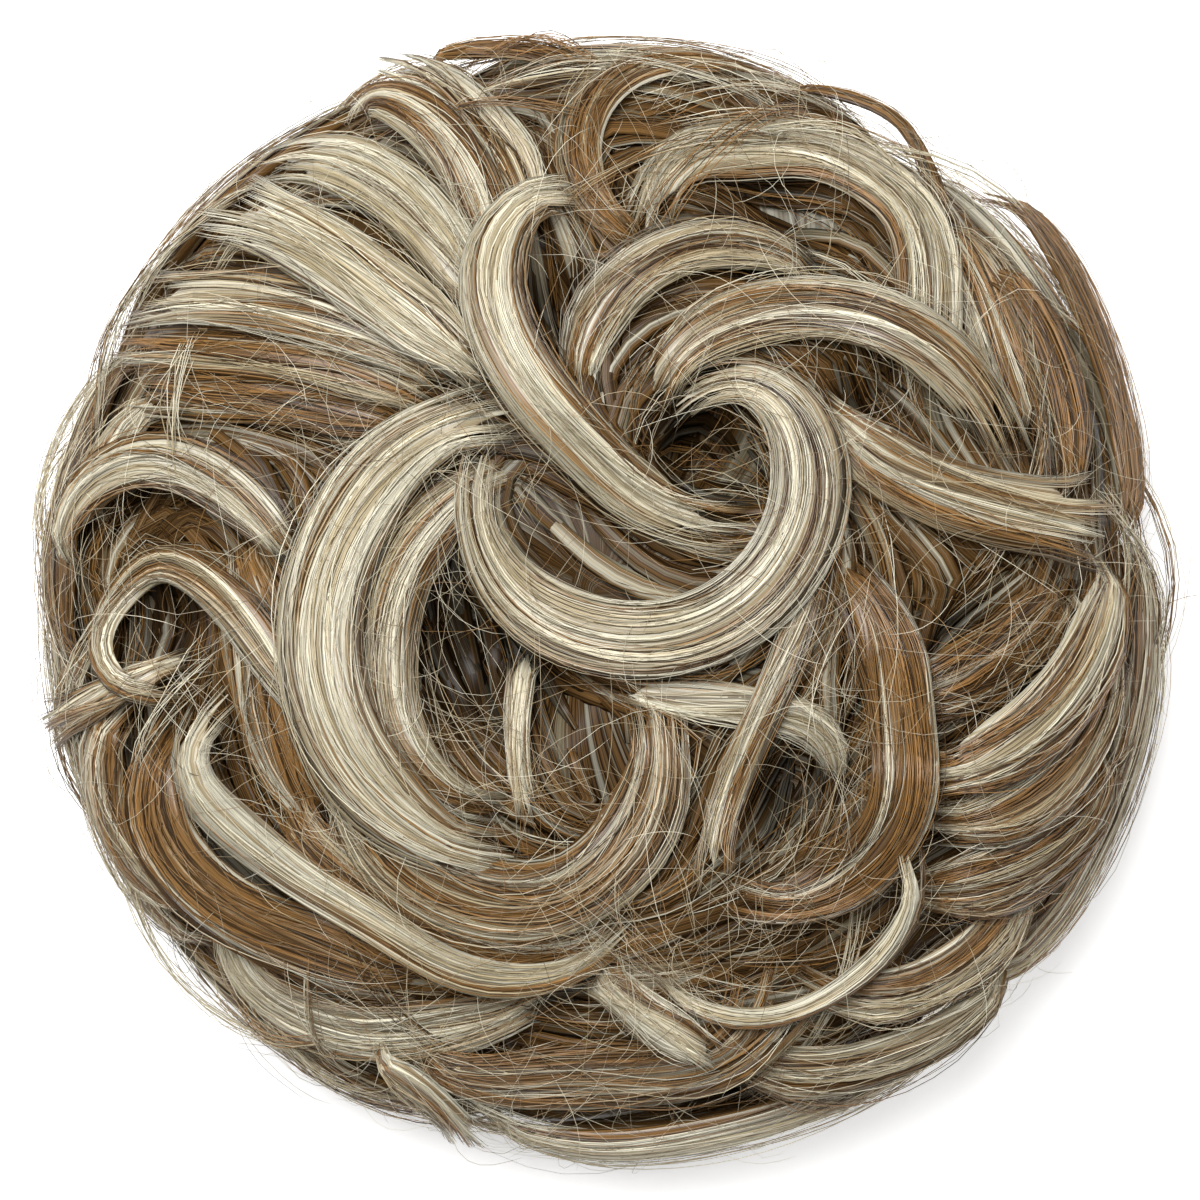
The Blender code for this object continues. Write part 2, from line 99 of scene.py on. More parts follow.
# The photo's view
PHOTO_SPAN = 0.1593
EYE_HEIGHT = 0.90
RIM_HEIGHT = 0.020
SENSOR = 0.036
BUN_SHIFT = (-0.0007, 0.0000)

# The stage
WORLD_STRENGTH = 0.25
FLOOR_SIZE = 6.0
FLOOR_DROP = 0.0002
FLOOR_WHITE = 0.90
FLOOR_GLOW = 0.42
LIGHT_AIM = (0.0, 0.0, 0.02)
OVERHEAD_PLACE = (-0.25, 0.38, 1.1)
OVERHEAD_SIZE = 0.8
OVERHEAD_WATTS = 21.6
SIDE_PLACE = (0.9, 0.2, 0.7)
SIDE_SIZE = 0.6
SIDE_WATTS = 3.5

# How fibre is cut into facets and laid out on its map
FIBRE_STEP = 0.0037
FIBRE_TURN = math.radians(13)
FIBRE_SIDES = 3
CORE_SIDES = 10
WISP_SIDES = 6
CORE_BAND = 0.26
FIBRE_ROWS = 2
MAP_MARGIN = 0.004
MAP_NAME = "OFBake"
MM_PER_M = 1000.0

# How fibre lies
FLOOR_GAP = 0.0002
FINE_TIP = 0.25
TIP_SHARE = 0.12
EASING = 4

# Fibre of the locks
CUT_FINISH = 0.6
DIVE_SHARE = 0.14
LOCK_OFFSET = 0.043
FEWEST_FIBRE_STEPS = 8
FEWEST_WISPS = 4
FEWEST_FIBRES = 30
RAGGED_CUT = 0.13
RAGGED_HIDDEN = 0.06
FRAY = 0.4
FRAY_START = 0.78
FRAY_SHARE = 0.22
ROOT_SPREAD = 0.7
STRAY_THINNESS = 0.45

# Wisps and tufts combed over the dome
COMB_SLOPES = (0.95, math.radians(100), math.radians(117))
COMB_REACH = 0.007
COMB_HOLD = 0.35
# How deep a dent must be for the wisps in it to get their full painted shade
DENT_SHADE_DEPTH = 0.006
WISP_STEPS = 12
WISP_STEP = 0.0036
WISP_RISE = 0.0016
WISP_SINK = 0.0008
WISP_FLATNESS = 0.30
TUFT_STEPS = 10
TUFT_STEP = 0.0034
TUFT_SPREAD = 0.0009
TUFT_RISE = 0.0022
TUFT_SINK = 0.0004

# Hair sewn to the elastic
WEFT_STEPS = 13
WEFT_OVERHANG = 0.004
WEFT_CLIMB = 0.0068

# Loose hairs, more of them on the locks of VEILS, and the loose rim
VEILS = {"low_flat": 6.0, "pocket_lock": 3.0, "fan_brown": 2.0, "low_sweep": 1.5, "right_flat": 1.5}
LOOSE_STEPS = 8
LOOSE_SHORTEST = 0.006
LOOSE_LONGEST = 0.034
LOOSE_LIFT = 0.0006
LOOSE_REACH = 0.004
RIM_REACH = 0.009
RIM_HIGH = math.radians(62)
RIM_LOW = math.radians(98)
RIM_STEPS = 9
RIM_FIBRES = 11

# Packed hair and the elastic
PACKED_INSET = 0.0009
PACKED_STEPS = 144
# Painted shade over all of the packed hair, which lies under the locks
PACKED_SHADE = 0.8
STREAK_GIRTH = 0.012
SWIRL = 0.8
ELASTIC_SIDES = 20
ELASTIC_STEPS = 180
FOLDS = 46
GATHER = 0.045
JOIN_DISTANCE = 1e-6
ON_SHELL = 1e-4


class Dent(NamedTuple):
    """A hollow place in the dome: its middle and radius as shares of BUN_RADIUS, its depth of BED_RISE."""

    x: float
    y: float
    radius: float
    depth: float


DENTS = (
    Dent(x=0.21, y=0.25, radius=0.19, depth=0.46),
    Dent(x=-0.20, y=-0.10, radius=0.24, depth=0.40),
    Dent(x=-0.76, y=-0.05, radius=0.14, depth=0.22),
    Dent(x=0.31, y=0.66, radius=0.18, depth=0.26),
    Dent(x=0.35, y=-0.34, radius=0.16, depth=0.26),
    Dent(x=-0.07, y=0.50, radius=0.12, depth=0.24),
    Dent(x=0.47, y=0.34, radius=0.12, depth=0.20),
    Dent(x=0.68, y=-0.08, radius=0.16, depth=0.18),
)


class Lock(NamedTuple):
    """A lock of hair: width and route as shares of BUN_RADIUS, start and finish as shares of the width.

    The route is the few places, seen from above, that the lock curls through. tone is a key of
    PALE_SHARES.
    """

    name: str
    tone: str
    width: float
    start: float
    finish: float
    route: tuple


LOCKS = (
    # Rim, laid first
    Lock(
        "rim_left", "mixed", 0.13, 0.4, 0.4,
        ((-0.79, 0.47), (-0.91, 0.28), (-0.95, 0.07), (-0.93, -0.16)),
    ),
    Lock(
        "rim_left_low", "mixed", 0.12, 0.4, 0.4,
        ((-0.92, -0.07), (-0.90, -0.32), (-0.81, -0.51), (-0.68, -0.66)),
    ),
    Lock(
        "rim_low_left", "blonde", 0.13, 0.4, 0.4,
        ((-0.69, -0.53), (-0.63, -0.69), (-0.47, -0.77), (-0.26, -0.76), (-0.06, -0.70)),
    ),
    Lock(
        "rim_low_edge", "ash", 0.15, 0.4, 0.4,
        ((-0.27, -0.90), (-0.06, -0.97), (0.22, -0.95), (0.50, -0.85), (0.73, -0.67)),
    ),
    Lock(
        "rim_low_right", "ash", 0.15, 0.4, 0.4,
        ((0.65, -0.73), (0.82, -0.54), (0.93, -0.30), (0.97, -0.07), (0.95, 0.14)),
    ),
    Lock(
        "rim_right", "brown", 0.12, 0.4, 0.4,
        ((0.95, 0.07), (0.93, 0.28), (0.87, 0.48), (0.78, 0.65), (0.69, 0.74)),
    ),
    Lock("rim_up_right", "brown", 0.06, 0.4, 0.4, ((0.31, 0.90), (0.47, 0.87), (0.59, 0.81), (0.68, 0.70))),
    Lock("rim_top", "brown", 0.08, 0.4, 0.4, ((-0.33, 0.94), (-0.20, 0.96), (-0.07, 0.95), (0.03, 0.88))),
    # Left side and lower left
    Lock("left_shoulder", "blonde", 0.08, 0.5, 0.5, ((-0.77, 0.35), (-0.86, 0.25), (-0.90, 0.12))),
    Lock(
        "left_fall_low", "mixed", 0.11, 0.4, 0.4,
        ((-0.84, -0.18), (-0.87, -0.34), (-0.81, -0.48), (-0.69, -0.57)),
    ),
    Lock(
        "left_fall_brown", "brown", 0.13, 0.4, 0.5,
        ((-0.64, 0.11), (-0.58, -0.04), (-0.56, -0.22), (-0.46, -0.43)),
    ),
    Lock(
        "left_fall_wide", "brown", 0.15, 0.4, 0.4,
        ((-0.74, -0.20), (-0.78, -0.37), (-0.67, -0.53), (-0.48, -0.63), (-0.27, -0.69)),
    ),
    Lock(
        "low_brown", "brown", 0.14, 0.5, 0.5,
        ((-0.57, -0.34), (-0.45, -0.48), (-0.29, -0.59), (-0.06, -0.62), (0.08, -0.55)),
    ),
    # Right side and lower right
    Lock(
        "right_dark", "brown", 0.14, 0.5, 0.5,
        ((0.83, 0.03), (0.73, -0.09), (0.62, -0.16), (0.52, -0.19)),
    ),
    Lock(
        "right_sweep_lowest", "ash", 0.13, 0.4, 0.4,
        ((0.75, -0.65), (0.58, -0.79), (0.38, -0.84), (0.17, -0.81)),
    ),
    Lock(
        "right_sweep_lower", "mixed", 0.12, 0.4, 0.4,
        ((0.80, -0.45), (0.70, -0.60), (0.54, -0.70), (0.35, -0.72)),
    ),
    Lock(
        "right_sweep_low", "brown", 0.14, 0.4, 0.4,
        ((0.91, -0.25), (0.84, -0.41), (0.69, -0.50), (0.51, -0.52)),
    ),
    Lock(
        "right_sweep_middle", "mixed", 0.13, 0.4, 0.4,
        ((0.90, 0.02), (0.88, -0.18), (0.77, -0.34), (0.54, -0.40)),
    ),
    Lock(
        "right_sweep_inner", "ash", 0.14, 0.4, 0.4,
        ((0.91, 0.08), (0.85, -0.12), (0.72, -0.26), (0.55, -0.33)),
    ),
    Lock("right_fall", "ash", 0.16, 0.4, 0.5, ((0.65, 0.73), (0.73, 0.58), (0.77, 0.42), (0.77, 0.25))),
    Lock(
        "right_fall_outer", "brown", 0.09, 0.4, 0.4,
        ((0.69, 0.60), (0.78, 0.47), (0.83, 0.31), (0.83, 0.15)),
    ),
    # Bottom
    Lock(
        "low_sweep", "mixed", 0.14, 0.4, 1.0,
        ((-0.36, -0.81), (-0.13, -0.86), (0.12, -0.85), (0.27, -0.77), (0.33, -0.63)),
    ),
    Lock("low_flat", "blonde", 0.08, 0.8, 0.8, ((-0.01, -0.65), (0.10, -0.73), (0.21, -0.81))),
    Lock("low_left_tuft", "ash", 0.07, 0.4, 1.2, ((-0.40, -0.80), (-0.29, -0.88), (-0.21, -0.97))),
    # Fan at the upper left
    Lock("fan_top", "ash", 0.12, 0.4, 0.7, ((-0.11, 0.62), (-0.17, 0.79), (-0.27, 0.90), (-0.40, 0.93))),
    Lock(
        "fan_fold", "ash", 0.10, 0.3, 0.7,
        ((-0.16, 0.47), (-0.21, 0.70), (-0.32, 0.84), (-0.42, 0.87), (-0.43, 0.80)),
    ),
    Lock(
        "fan_high", "blonde", 0.12, 0.3, 0.6,
        ((-0.15, 0.43), (-0.26, 0.60), (-0.38, 0.74), (-0.50, 0.79), (-0.61, 0.75)),
    ),
    Lock(
        "fan_brown", "brown", 0.12, 0.3, 0.7,
        ((-0.30, 0.28), (-0.44, 0.33), (-0.64, 0.36), (-0.83, 0.38)),
    ),
    Lock(
        "fan_middle", "mixed", 0.11, 0.3, 0.8,
        ((-0.25, 0.31), (-0.43, 0.39), (-0.65, 0.43), (-0.86, 0.45)),
    ),
    Lock("fan_ash", "ash", 0.11, 0.3, 0.8, ((-0.24, 0.35), (-0.44, 0.47), (-0.64, 0.51), (-0.83, 0.50))),
    Lock(
        "fan_bright", "blonde", 0.13, 0.3, 1.0,
        ((-0.17, 0.36), (-0.35, 0.50), (-0.52, 0.62), (-0.68, 0.68)),
    ),
    # Left curls
    Lock(
        "left_curl_outer", "ash", 0.105, 0.4, 0.5,
        ((-0.51, 0.02), (-0.63, 0.18), (-0.79, 0.24), (-0.91, 0.17), (-0.94, 0.01)),
    ),
    Lock("left_tuft", "ash", 0.06, 0.4, 1.2, ((-0.72, -0.11), (-0.86, -0.18), (-0.99, -0.24))),
    Lock(
        "left_curl_inner", "ash", 0.07, 0.5, 0.4,
        (
            (-0.44, -0.30), (-0.55, -0.13), (-0.67, 0.02), (-0.80, 0.06),
            (-0.89, -0.03), (-0.85, -0.15), (-0.72, -0.18),
        ),
    ),
    # Middle
    Lock(
        "middle_band", "ash", 0.07, 0.4, 0.4,
        ((0.00, -0.16), (0.15, -0.19), (0.31, -0.20), (0.44, -0.27), (0.48, -0.40)),
    ),
    Lock("pocket_lock", "blonde", 0.045, 0.8, 0.8, ((-0.12, -0.10), (-0.14, -0.25), (-0.12, -0.40))),
    Lock(
        "low_ring", "mixed", 0.15, 0.4, 0.4,
        (
            (-0.46, -0.18), (-0.39, -0.39), (-0.25, -0.51), (-0.07, -0.53),
            (0.06, -0.43), (0.11, -0.27), (0.08, -0.14),
        ),
    ),
    Lock(
        "low_blonde", "blonde", 0.08, 0.5, 0.4,
        (
            (-0.65, -0.16), (-0.72, -0.27), (-0.62, -0.42), (-0.40, -0.56),
            (-0.20, -0.67), (-0.04, -0.66), (0.08, -0.58),
        ),
    ),
    Lock(
        "drop_right", "brown", 0.125, 0.4, 0.4,
        ((0.39, 0.08), (0.49, -0.04), (0.53, -0.24), (0.50, -0.42), (0.37, -0.53), (0.22, -0.53)),
    ),
    Lock(
        "drop_left", "mixed", 0.07, 0.5, 0.8,
        ((0.39, 0.07), (0.34, -0.09), (0.26, -0.27), (0.20, -0.43), (0.20, -0.53)),
    ),
    Lock(
        "low_blonde_thin", "blonde", 0.045, 0.6, 0.4,
        ((0.54, -0.43), (0.53, -0.58), (0.43, -0.68), (0.26, -0.74), (0.08, -0.65)),
    ),
    # Upper right
    Lock(
        "top_hook", "mixed", 0.085, 0.5, 0.6,
        ((0.11, 0.60), (0.00, 0.66), (-0.04, 0.78), (0.02, 0.90), (0.17, 0.94), (0.34, 0.89)),
    ),
    Lock(
        "upper_ring", "blonde", 0.13, 0.4, 0.8,
        ((0.08, 0.61), (0.12, 0.74), (0.26, 0.82), (0.42, 0.82), (0.54, 0.71), (0.58, 0.53), (0.54, 0.31)),
    ),
    Lock(
        "upper_arc", "mixed", 0.10, 0.4, 0.5,
        ((-0.03, 0.31), (-0.01, 0.47), (0.10, 0.58), (0.24, 0.61), (0.41, 0.54)),
    ),
    Lock(
        "right_arc", "mixed", 0.12, 0.4, 0.6,
        ((0.08, 0.30), (0.15, 0.43), (0.30, 0.49), (0.47, 0.48), (0.63, 0.38), (0.73, 0.20)),
    ),
    Lock(
        "right_flat", "ash", 0.13, 0.3, 1.0,
        ((0.37, 0.36), (0.44, 0.26), (0.57, 0.18), (0.73, 0.14), (0.91, 0.12)),
    ),
    # Crown, laid last
    Lock(
        "loop_inner", "mixed", 0.11, 0.4, 0.4,
        (
            (-0.09, 0.24), (-0.23, 0.18), (-0.34, 0.05), (-0.38, -0.11),
            (-0.34, -0.27), (-0.23, -0.37), (-0.13, -0.39),
        ),
    ),
    Lock(
        "loop_outer", "blonde", 0.15, 0.5, 0.4,
        (
            (-0.12, 0.32), (-0.30, 0.27), (-0.43, 0.12), (-0.48, -0.07),
            (-0.43, -0.27), (-0.28, -0.42), (-0.11, -0.47),
        ),
    ),
    Lock(
        "diagonal", "blonde", 0.115, 0.45, 0.6,
        (
            (0.00, 0.71), (-0.13, 0.68), (-0.19, 0.56), (-0.15, 0.41),
            (-0.03, 0.26), (0.14, 0.13), (0.30, 0.12),
        ),
    ),
    Lock(
        "centre_swirl", "blonde", 0.13, 0.35, 0.35,
        (
            (0.11, 0.30), (0.19, 0.37), (0.30, 0.36), (0.37, 0.24), (0.34, 0.07),
            (0.20, -0.06), (0.01, -0.08), (-0.15, 0.00), (-0.21, 0.12), (-0.19, 0.28),
        ),
    ),
)

SEMI_AXES = np.array((BED_RADIUS, BED_RADIUS, BED_RISE))
MIDDLE = np.array((0.0, 0.0, BED_MIDDLE))
FOOT_ANGLE = math.acos(-BED_MIDDLE / BED_RISE)


def unit(vectors):
    return vectors / np.linalg.norm(vectors, axis=-1, keepdims=True)


def smoothstep(share):
    share = np.clip(share, 0.0, 1.0)
    return share * share * (3.0 - 2.0 * share)


def dome_normal(direction):
    """The way out of the dome at a direction from its middle."""
    return unit(direction / SEMI_AXES)


def dome_point(direction, lift=0.0):
    """The point of the dome in a direction from its middle, lifted off it by this much."""
    return MIDDLE + direction * SEMI_AXES + dome_normal(direction) * np.asarray(lift)[..., None]


def direction_to(points):
    """The direction on the dome that points on it, or near it, lie in."""
    return unit((points - MIDDLE) / SEMI_AXES)


def dome_lift(direction):
    """How far the under hair's surface stands over the plain dome: flutes, less the dents."""
    slope = np.arccos(np.clip(direction[..., 2], -1.0, 1.0))
    around = np.arctan2(direction[..., 1], direction[..., 0])
    fade = np.sin(np.pi * np.clip(slope / FOOT_ANGLE, 0.0, 1.0)) ** 2
    lift = FLUTE_DEPTH * fade * np.cos(FLUTES * around + FLUTES * FLUTE_SWIRL * slope / math.pi)
    plan = dome_point(direction)[..., :2] / BUN_RADIUS
    for dent in DENTS:
        away = np.hypot(plan[..., 0] - dent.x, plan[..., 1] - dent.y) / dent.radius
        lift = lift - dent.depth * BED_RISE * (1.0 - smoothstep(away)) * (direction[..., 2] > 0)
    return lift


def arc_between(start, end, other, share):
    """Places from start to end on the circle through three points, by the way that misses the third."""
    chord, spoke = end - start, other - start
    area = (np.conj(chord) * spoke).imag
    if abs(area) < STRAIGHT_AREA:
        return start + chord * share
    centre = start + 1j * (chord * abs(spoke) ** 2 - spoke * abs(chord) ** 2) / (2.0 * area)
    angle = np.angle((end - centre) / (start - centre))
    passed = np.angle((other - centre) / (start - centre))
    if 0.0 < passed / angle < 1.0:
        angle -= math.copysign(2.0 * math.pi, angle)
    return centre + (start - centre) * np.exp(1j * angle * share)


def smooth_route(places, spacing):
    """Evenly spaced points, as shares, on arcs through the places, blended where two arcs meet."""
    knots = [complex(*place) for place in places]
    share = np.linspace(0.0, 1.0, ARC_POINTS, endpoint=False)
    pieces = []
    for i, (start, end) in enumerate(zip(knots, knots[1:])):
        arcs = []
        if i > 0:
            arcs.append(arc_between(start, end, knots[i - 1], share))
        if i + 2 < len(knots):
            arcs.append(arc_between(start, end, knots[i + 2], share))
        blend = smoothstep(share)
        pieces.append(arcs[0] * (1.0 - blend) + arcs[-1] * blend)
    fine = np.append(np.concatenate(pieces), knots[-1])
    along = np.append(0.0, np.cumsum(np.abs(np.diff(fine))))
    steps = max(FEWEST_STEPS, round(along[-1] * BUN_RADIUS / spacing))
    even = np.linspace(0.0, along[-1], steps + 1)
    return np.stack([np.interp(even, along, fine.real), np.interp(even, along, fine.imag)], axis=1)


def plan_directions(plan, lift):
    """Directions whose lifted points have these places in plan, and how far those stand off the pile."""
    reach = np.hypot(plan[:, 0], plan[:, 1]) * BUN_RADIUS
    around = np.arctan2(plan[:, 1], plan[:, 0])
    low, high = np.zeros(len(plan)), np.full(len(plan), math.sin(STEEPEST))
    for _ in range(HALVINGS):
        sine = (low + high) / 2
        cosine = np.sqrt(1.0 - sine**2)
        lean = sine * BED_RISE / np.hypot(sine * BED_RISE, cosine * BED_RADIUS)
        got = BED_RADIUS * sine + lift * lean
        low = np.where(got < reach, sine, low)
        high = np.where(got < reach, high, sine)
    direction = np.stack([sine * np.cos(around), sine * np.sin(around), cosine], axis=1)
    return direction, np.maximum(0.0, reach - got) / np.maximum(lean, 0.5)


def pile_height(points, pile):
    """The lift of the top of the pile at points on the dome: under hair, and locks already laid."""
    height = dome_lift(direction_to(points))
    for laid in pile:
        away = np.linalg.norm(points[:, None, :] - laid["on_dome"][None, :, :], axis=2)
        nearest = away.argmin(axis=1)
        half = laid["half"][nearest]
        share = away.min(axis=1) / (half + FACET_ALLOWANCE)
        top = laid["lift"][nearest] + half * FLATNESS * bulge(share)
        height = np.where(share < 1.0, np.maximum(height, top), height)
    return height


def bulge(share):
    """How thick a lock is at a share of its half width from the middle, as a share of its full thickness."""
    return np.sqrt(np.clip(1.0 - np.square(share), 0.0, 1.0))


def bridged(height, step):
    """A lock's own bend over the pile: it spans short gaps and is nowhere below the pile."""
    wide = max(1, round((BRIDGE_LENGTH + SOFTEN_LENGTH) / step))
    soft = max(1, round(SOFTEN_LENGTH / step))
    padded = np.pad(height, wide, mode="edge")
    highest = np.array([padded[i : i + 2 * wide + 1].max() for i in range(len(height))])
    padded = np.pad(highest, soft, mode="edge")
    return np.array([padded[i : i + 2 * soft + 1].mean() for i in range(len(height))])


def route_frame(direction):
    """The dome's points under a route, and the unit vectors across the route."""
    on_dome = dome_point(direction)
    along = unit(np.gradient(on_dome, axis=0))
    return on_dome, unit(np.cross(dome_normal(direction), along))


def taper(steps, start, finish):
    """The lock's width along it, as a share: it swells from start to 1 and closes to finish."""
    share = np.linspace(0.0, 1.0, steps)
    opening = start + (1.0 - start) * smoothstep(share / TAPER_SHARE)
    closing = finish + (1.0 - finish) * smoothstep((1.0 - share) / TAPER_SHARE)
    return opening * closing


def lay(half, direction_at, pile):
    """Lays a lock on the pile. direction_at gives its directions, and its stand-off, for a lift."""
    lift = np.full(len(half), half.mean() * FLATNESS)
    for _ in range(SETTLING_ROUNDS):
        direction, stand_off = direction_at(lift)
        on_dome, across = route_frame(direction)
        need = [
            pile_height(on_dome + share * half[:, None] * across, pile) + half * FLATNESS * bulge(share)
            for share in LAY_SHARES
        ]
        lift = bridged(np.max(need, axis=0), STEP) + LAY_GAP + FACET_ALLOWANCE
    lift = lift + stand_off
    return {
        "direction": direction,
        "across": across,
        "on_dome": on_dome,
        "half": half,
        "lift": lift,
    }


def band_middle():
    """Where the elastic band's middle is in plan: the part's origin is the middle of its footprint."""
    low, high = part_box("elastic_band")
    return np.array([(low[0] + high[0]) / 2, (low[1] + high[1]) / 2, 0.0])


def round_direction(slope, around):
    return np.stack([np.sin(slope) * np.cos(around), np.sin(slope) * np.sin(around), np.cos(slope)], axis=-1)


def side_laid(pile):
    """The locks that wrap the side, laid in order round it."""
    share = np.linspace(0.0, 1.0, round(BED_RADIUS * SIDE_SPAN / STEP))
    half = SIDE_WIDTH / 2 * taper(len(share), SIDE_TAPER, SIDE_TAPER)
    slope = SIDE_LOW + (SIDE_HIGH - SIDE_LOW) * np.sin(np.pi * share) ** 2
    for i in range(SIDE_LOCKS):
        around = 2.0 * np.pi * i / SIDE_LOCKS + SIDE_SPAN * share
        fixed = round_direction(slope, around)
        laid = lay(half, lambda lift, fixed=fixed: (fixed, 0.0), pile)
        laid.update(name=f"side_lock_{i + 1}", tone="mixed", finish=SIDE_TAPER)
        pile.append(laid)


def lay_all():
    """Every lock where its solid lies, in the order that they were laid."""
    pile = []
    side_laid(pile)
    for row in LOCKS:
        plan = smooth_route(row.route, STEP)
        half = row.width * BUN_RADIUS / 2 * taper(len(plan), row.start, row.finish)
        laid = lay(half, lambda lift, fixed=plan: plan_directions(fixed, lift), pile)
        laid.update(name=row.name, tone=row.tone, finish=row.finish)
        pile.append(laid)
    return pile


PILE = lay_all()
SHIFT = band_middle()


# Fibre as joined meshes


class Tubes(NamedTuple):
    """Closed tubes of one count of sides: paths, section axes, half widths and what each corner carries."""

    paths: np.ndarray
    across: np.ndarray
    up: np.ndarray
    wide: np.ndarray
    thick: np.ndarray
    sides: int
    lateral: np.ndarray
    jitter: np.ndarray
    # depth: how much painted shade each corner gets
    depth: np.ndarray
    map_low: np.ndarray
    map_size: np.ndarray


def along_lengths(paths):
    steps = np.linalg.norm(np.diff(paths, axis=1), axis=2)
    return np.concatenate([np.zeros((len(paths), 1)), np.cumsum(steps, axis=1)], axis=1)


def tube_corners(tubes):
    """Where a set of tubes has its corners, and the values that each corner carries for the materials."""
    turn = np.arange(tubes.sides) * 2.0 * np.pi / tubes.sides
    wide = tubes.wide[:, :, None] * np.cos(turn)
    thick = tubes.thick[:, :, None] * np.sin(turn)
    paths = tubes.paths.copy()
    paths[..., 2] = np.maximum(paths[..., 2], tubes.thick + FLOOR_GAP)
    places = paths[:, :, None] + tubes.across[:, :, None] * wide[..., None]
    places = places + tubes.up[:, :, None] * thick[..., None]
    places[..., 2] = np.maximum(places[..., 2], FLOOR_GAP)
    lateral = tubes.lateral[:, :, None] + (wide if tubes.sides > FIBRE_SIDES else np.zeros_like(wide))
    values = {
        "lateral": lateral * MM_PER_M,
        "along": along_lengths(paths)[:, :, None] * MM_PER_M,
        "jitter": tubes.jitter[:, None, None],
        "depth": tubes.depth[:, :, None],
    }
    carried = {key: np.broadcast_to(value, wide.shape).reshape(-1) for key, value in values.items()}
    return places.reshape(-1, 3), carried


def tube_faces(count, steps, sides):
    """Corner numbers of the quads along tubes, and of the caps at their ends. All face outwards."""
    index = np.arange(count * steps * sides).reshape(count, steps, sides)
    after = np.roll(index, -1, axis=2)
    quads = np.stack([index[:, :-1], after[:, :-1], after[:, 1:], index[:, 1:]], axis=-1)
    return quads.reshape(-1, 4), np.concatenate([index[:, 0, ::-1], index[:, -1]])


def tube_map(tubes):
    """Places on the map of the quads' corners and the caps' corners: a tube is one upright column."""
    count, steps = tubes.paths.shape[:2]
    side = np.arange(tubes.sides + 1) / tubes.sides
    level = np.linspace(0.0, 1.0, steps)
    quad_u = np.stack([side[:-1], side[1:], side[1:], side[:-1]], axis=-1)[None, None]
    quad_v = np.stack([level[:-1], level[:-1], level[1:], level[1:]], axis=-1)[None, :, None]
    shape = (count, steps - 1, tubes.sides, 4)
    quads = np.stack([np.broadcast_to(quad_u, shape), np.broadcast_to(quad_v, shape)], axis=-1)
    quads = tubes.map_low[:, None, None, None] + tubes.map_size[:, None, None, None] * quads
    ends = []
    for order, height in ((side[-2::-1], 0.0), (side[:-1], 1.0)):
        cap = np.stack([order, np.full(tubes.sides, height)], axis=-1)
        ends.append(tubes.map_low[:, None] + tubes.map_size[:, None] * cap)
    return np.concatenate([quads.reshape(-1, 2), np.concatenate(ends).reshape(-1, 2)])


def mesh_of_tubes(name, sets, material):
    """One mesh object from sets of tubes, with their attributes and their map."""
    places, faces, sizes, maps, values = [], [], [], [], []
    corners = 0
    for tubes in sets:
        where, carried = tube_corners(tubes)
        quads, caps = tube_faces(*tubes.paths.shape[:2], tubes.sides)
        faces += [quads.reshape(-1) + corners, caps.reshape(-1) + corners]
        sizes += [np.full(len(quads), 4), np.full(len(caps), tubes.sides)]
        corners += len(where)
        places.append(where + SHIFT)
        maps.append(tube_map(tubes))
        values.append(carried)
    faces, sizes = np.concatenate(faces), np.concatenate(sizes)
    mesh = bpy.data.meshes.new(name)
    mesh.vertices.add(corners)
    mesh.vertices.foreach_set("co", np.concatenate(places).astype(np.float32).reshape(-1))
    mesh.loops.add(len(faces))
    mesh.loops.foreach_set("vertex_index", faces.astype(np.int32))
    mesh.polygons.add(len(sizes))
    mesh.polygons.foreach_set("loop_start", (np.cumsum(sizes) - sizes).astype(np.int32))
    mesh.update(calc_edges=True)
    mesh.shade_smooth()
    for key in values[0]:
        layer = mesh.attributes.new(key, "FLOAT", "POINT")
        layer.data.foreach_set("value", np.concatenate([one[key] for one in values]).astype(np.float32))
    layer = mesh.uv_layers.new(name=MAP_NAME)
    layer.uv.foreach_set("vector", np.concatenate(maps).astype(np.float32).reshape(-1))
    return place_object(name, mesh, material)


def place_object(name, mesh, material):
    mesh.materials.append(material)
    obj = bpy.data.objects.new(name, mesh)
    bpy.context.scene.collection.objects.link(obj)
    return obj


def map_columns(count, low, rows):
    """Places for fibres on the map: narrow columns, in rows from a level up to the map's upper edge."""
    columns = math.ceil(count / rows)
    which = np.arange(count)
    cell = np.array([1.0 / columns, (1.0 - low) / rows])
    origin = np.stack([which % columns, which // columns], axis=1) * cell + [0.0, low]
    return origin + cell * MAP_MARGIN, np.broadcast_to(cell * (1.0 - 2.0 * MAP_MARGIN), origin.shape)


def section_axes(paths, out):
    """Unit vectors across paths and up from them, up being as near to the way out as it can be."""
    along = unit(np.gradient(paths, axis=1))
    across = unit(np.cross(out, along))
    return across, np.cross(along, across)


def fibres(paths, out, radius, lateral, jitter, depth, rows, low=0.0):
    """Thin round tubes along paths, each with a column of its own on the map."""
    across, up = section_axes(paths, out)
    radius = radius * tip_taper(paths.shape[1])
    lateral = np.broadcast_to(lateral, radius.shape)
    depth = np.broadcast_to(depth, radius.shape)
    columns = map_columns(len(paths), low, rows)
    return Tubes(paths, across, up, radius, radius, FIBRE_SIDES, lateral, jitter, depth, *columns)


def tip_taper(steps):
    """The thickness of a fibre along it, as a share: full, and fine at its two ends."""
    share = np.linspace(0.0, 1.0, steps)
    return FINE_TIP + (1.0 - FINE_TIP) * smoothstep(np.minimum(share, 1.0 - share) / TIP_SHARE)


def waves(which, shares, rng):
    """A slow wave along each path, the same one for all the paths of a group. which is a path's group."""
    groups = which.max() + 1
    start = rng.uniform(0.0, 2.0 * np.pi, groups)[which, None]
    turns = rng.uniform(0.5, 1.5, groups)[which, None]
    return np.sin(start + 2.0 * np.pi * turns * shares)


# Fibre of the locks


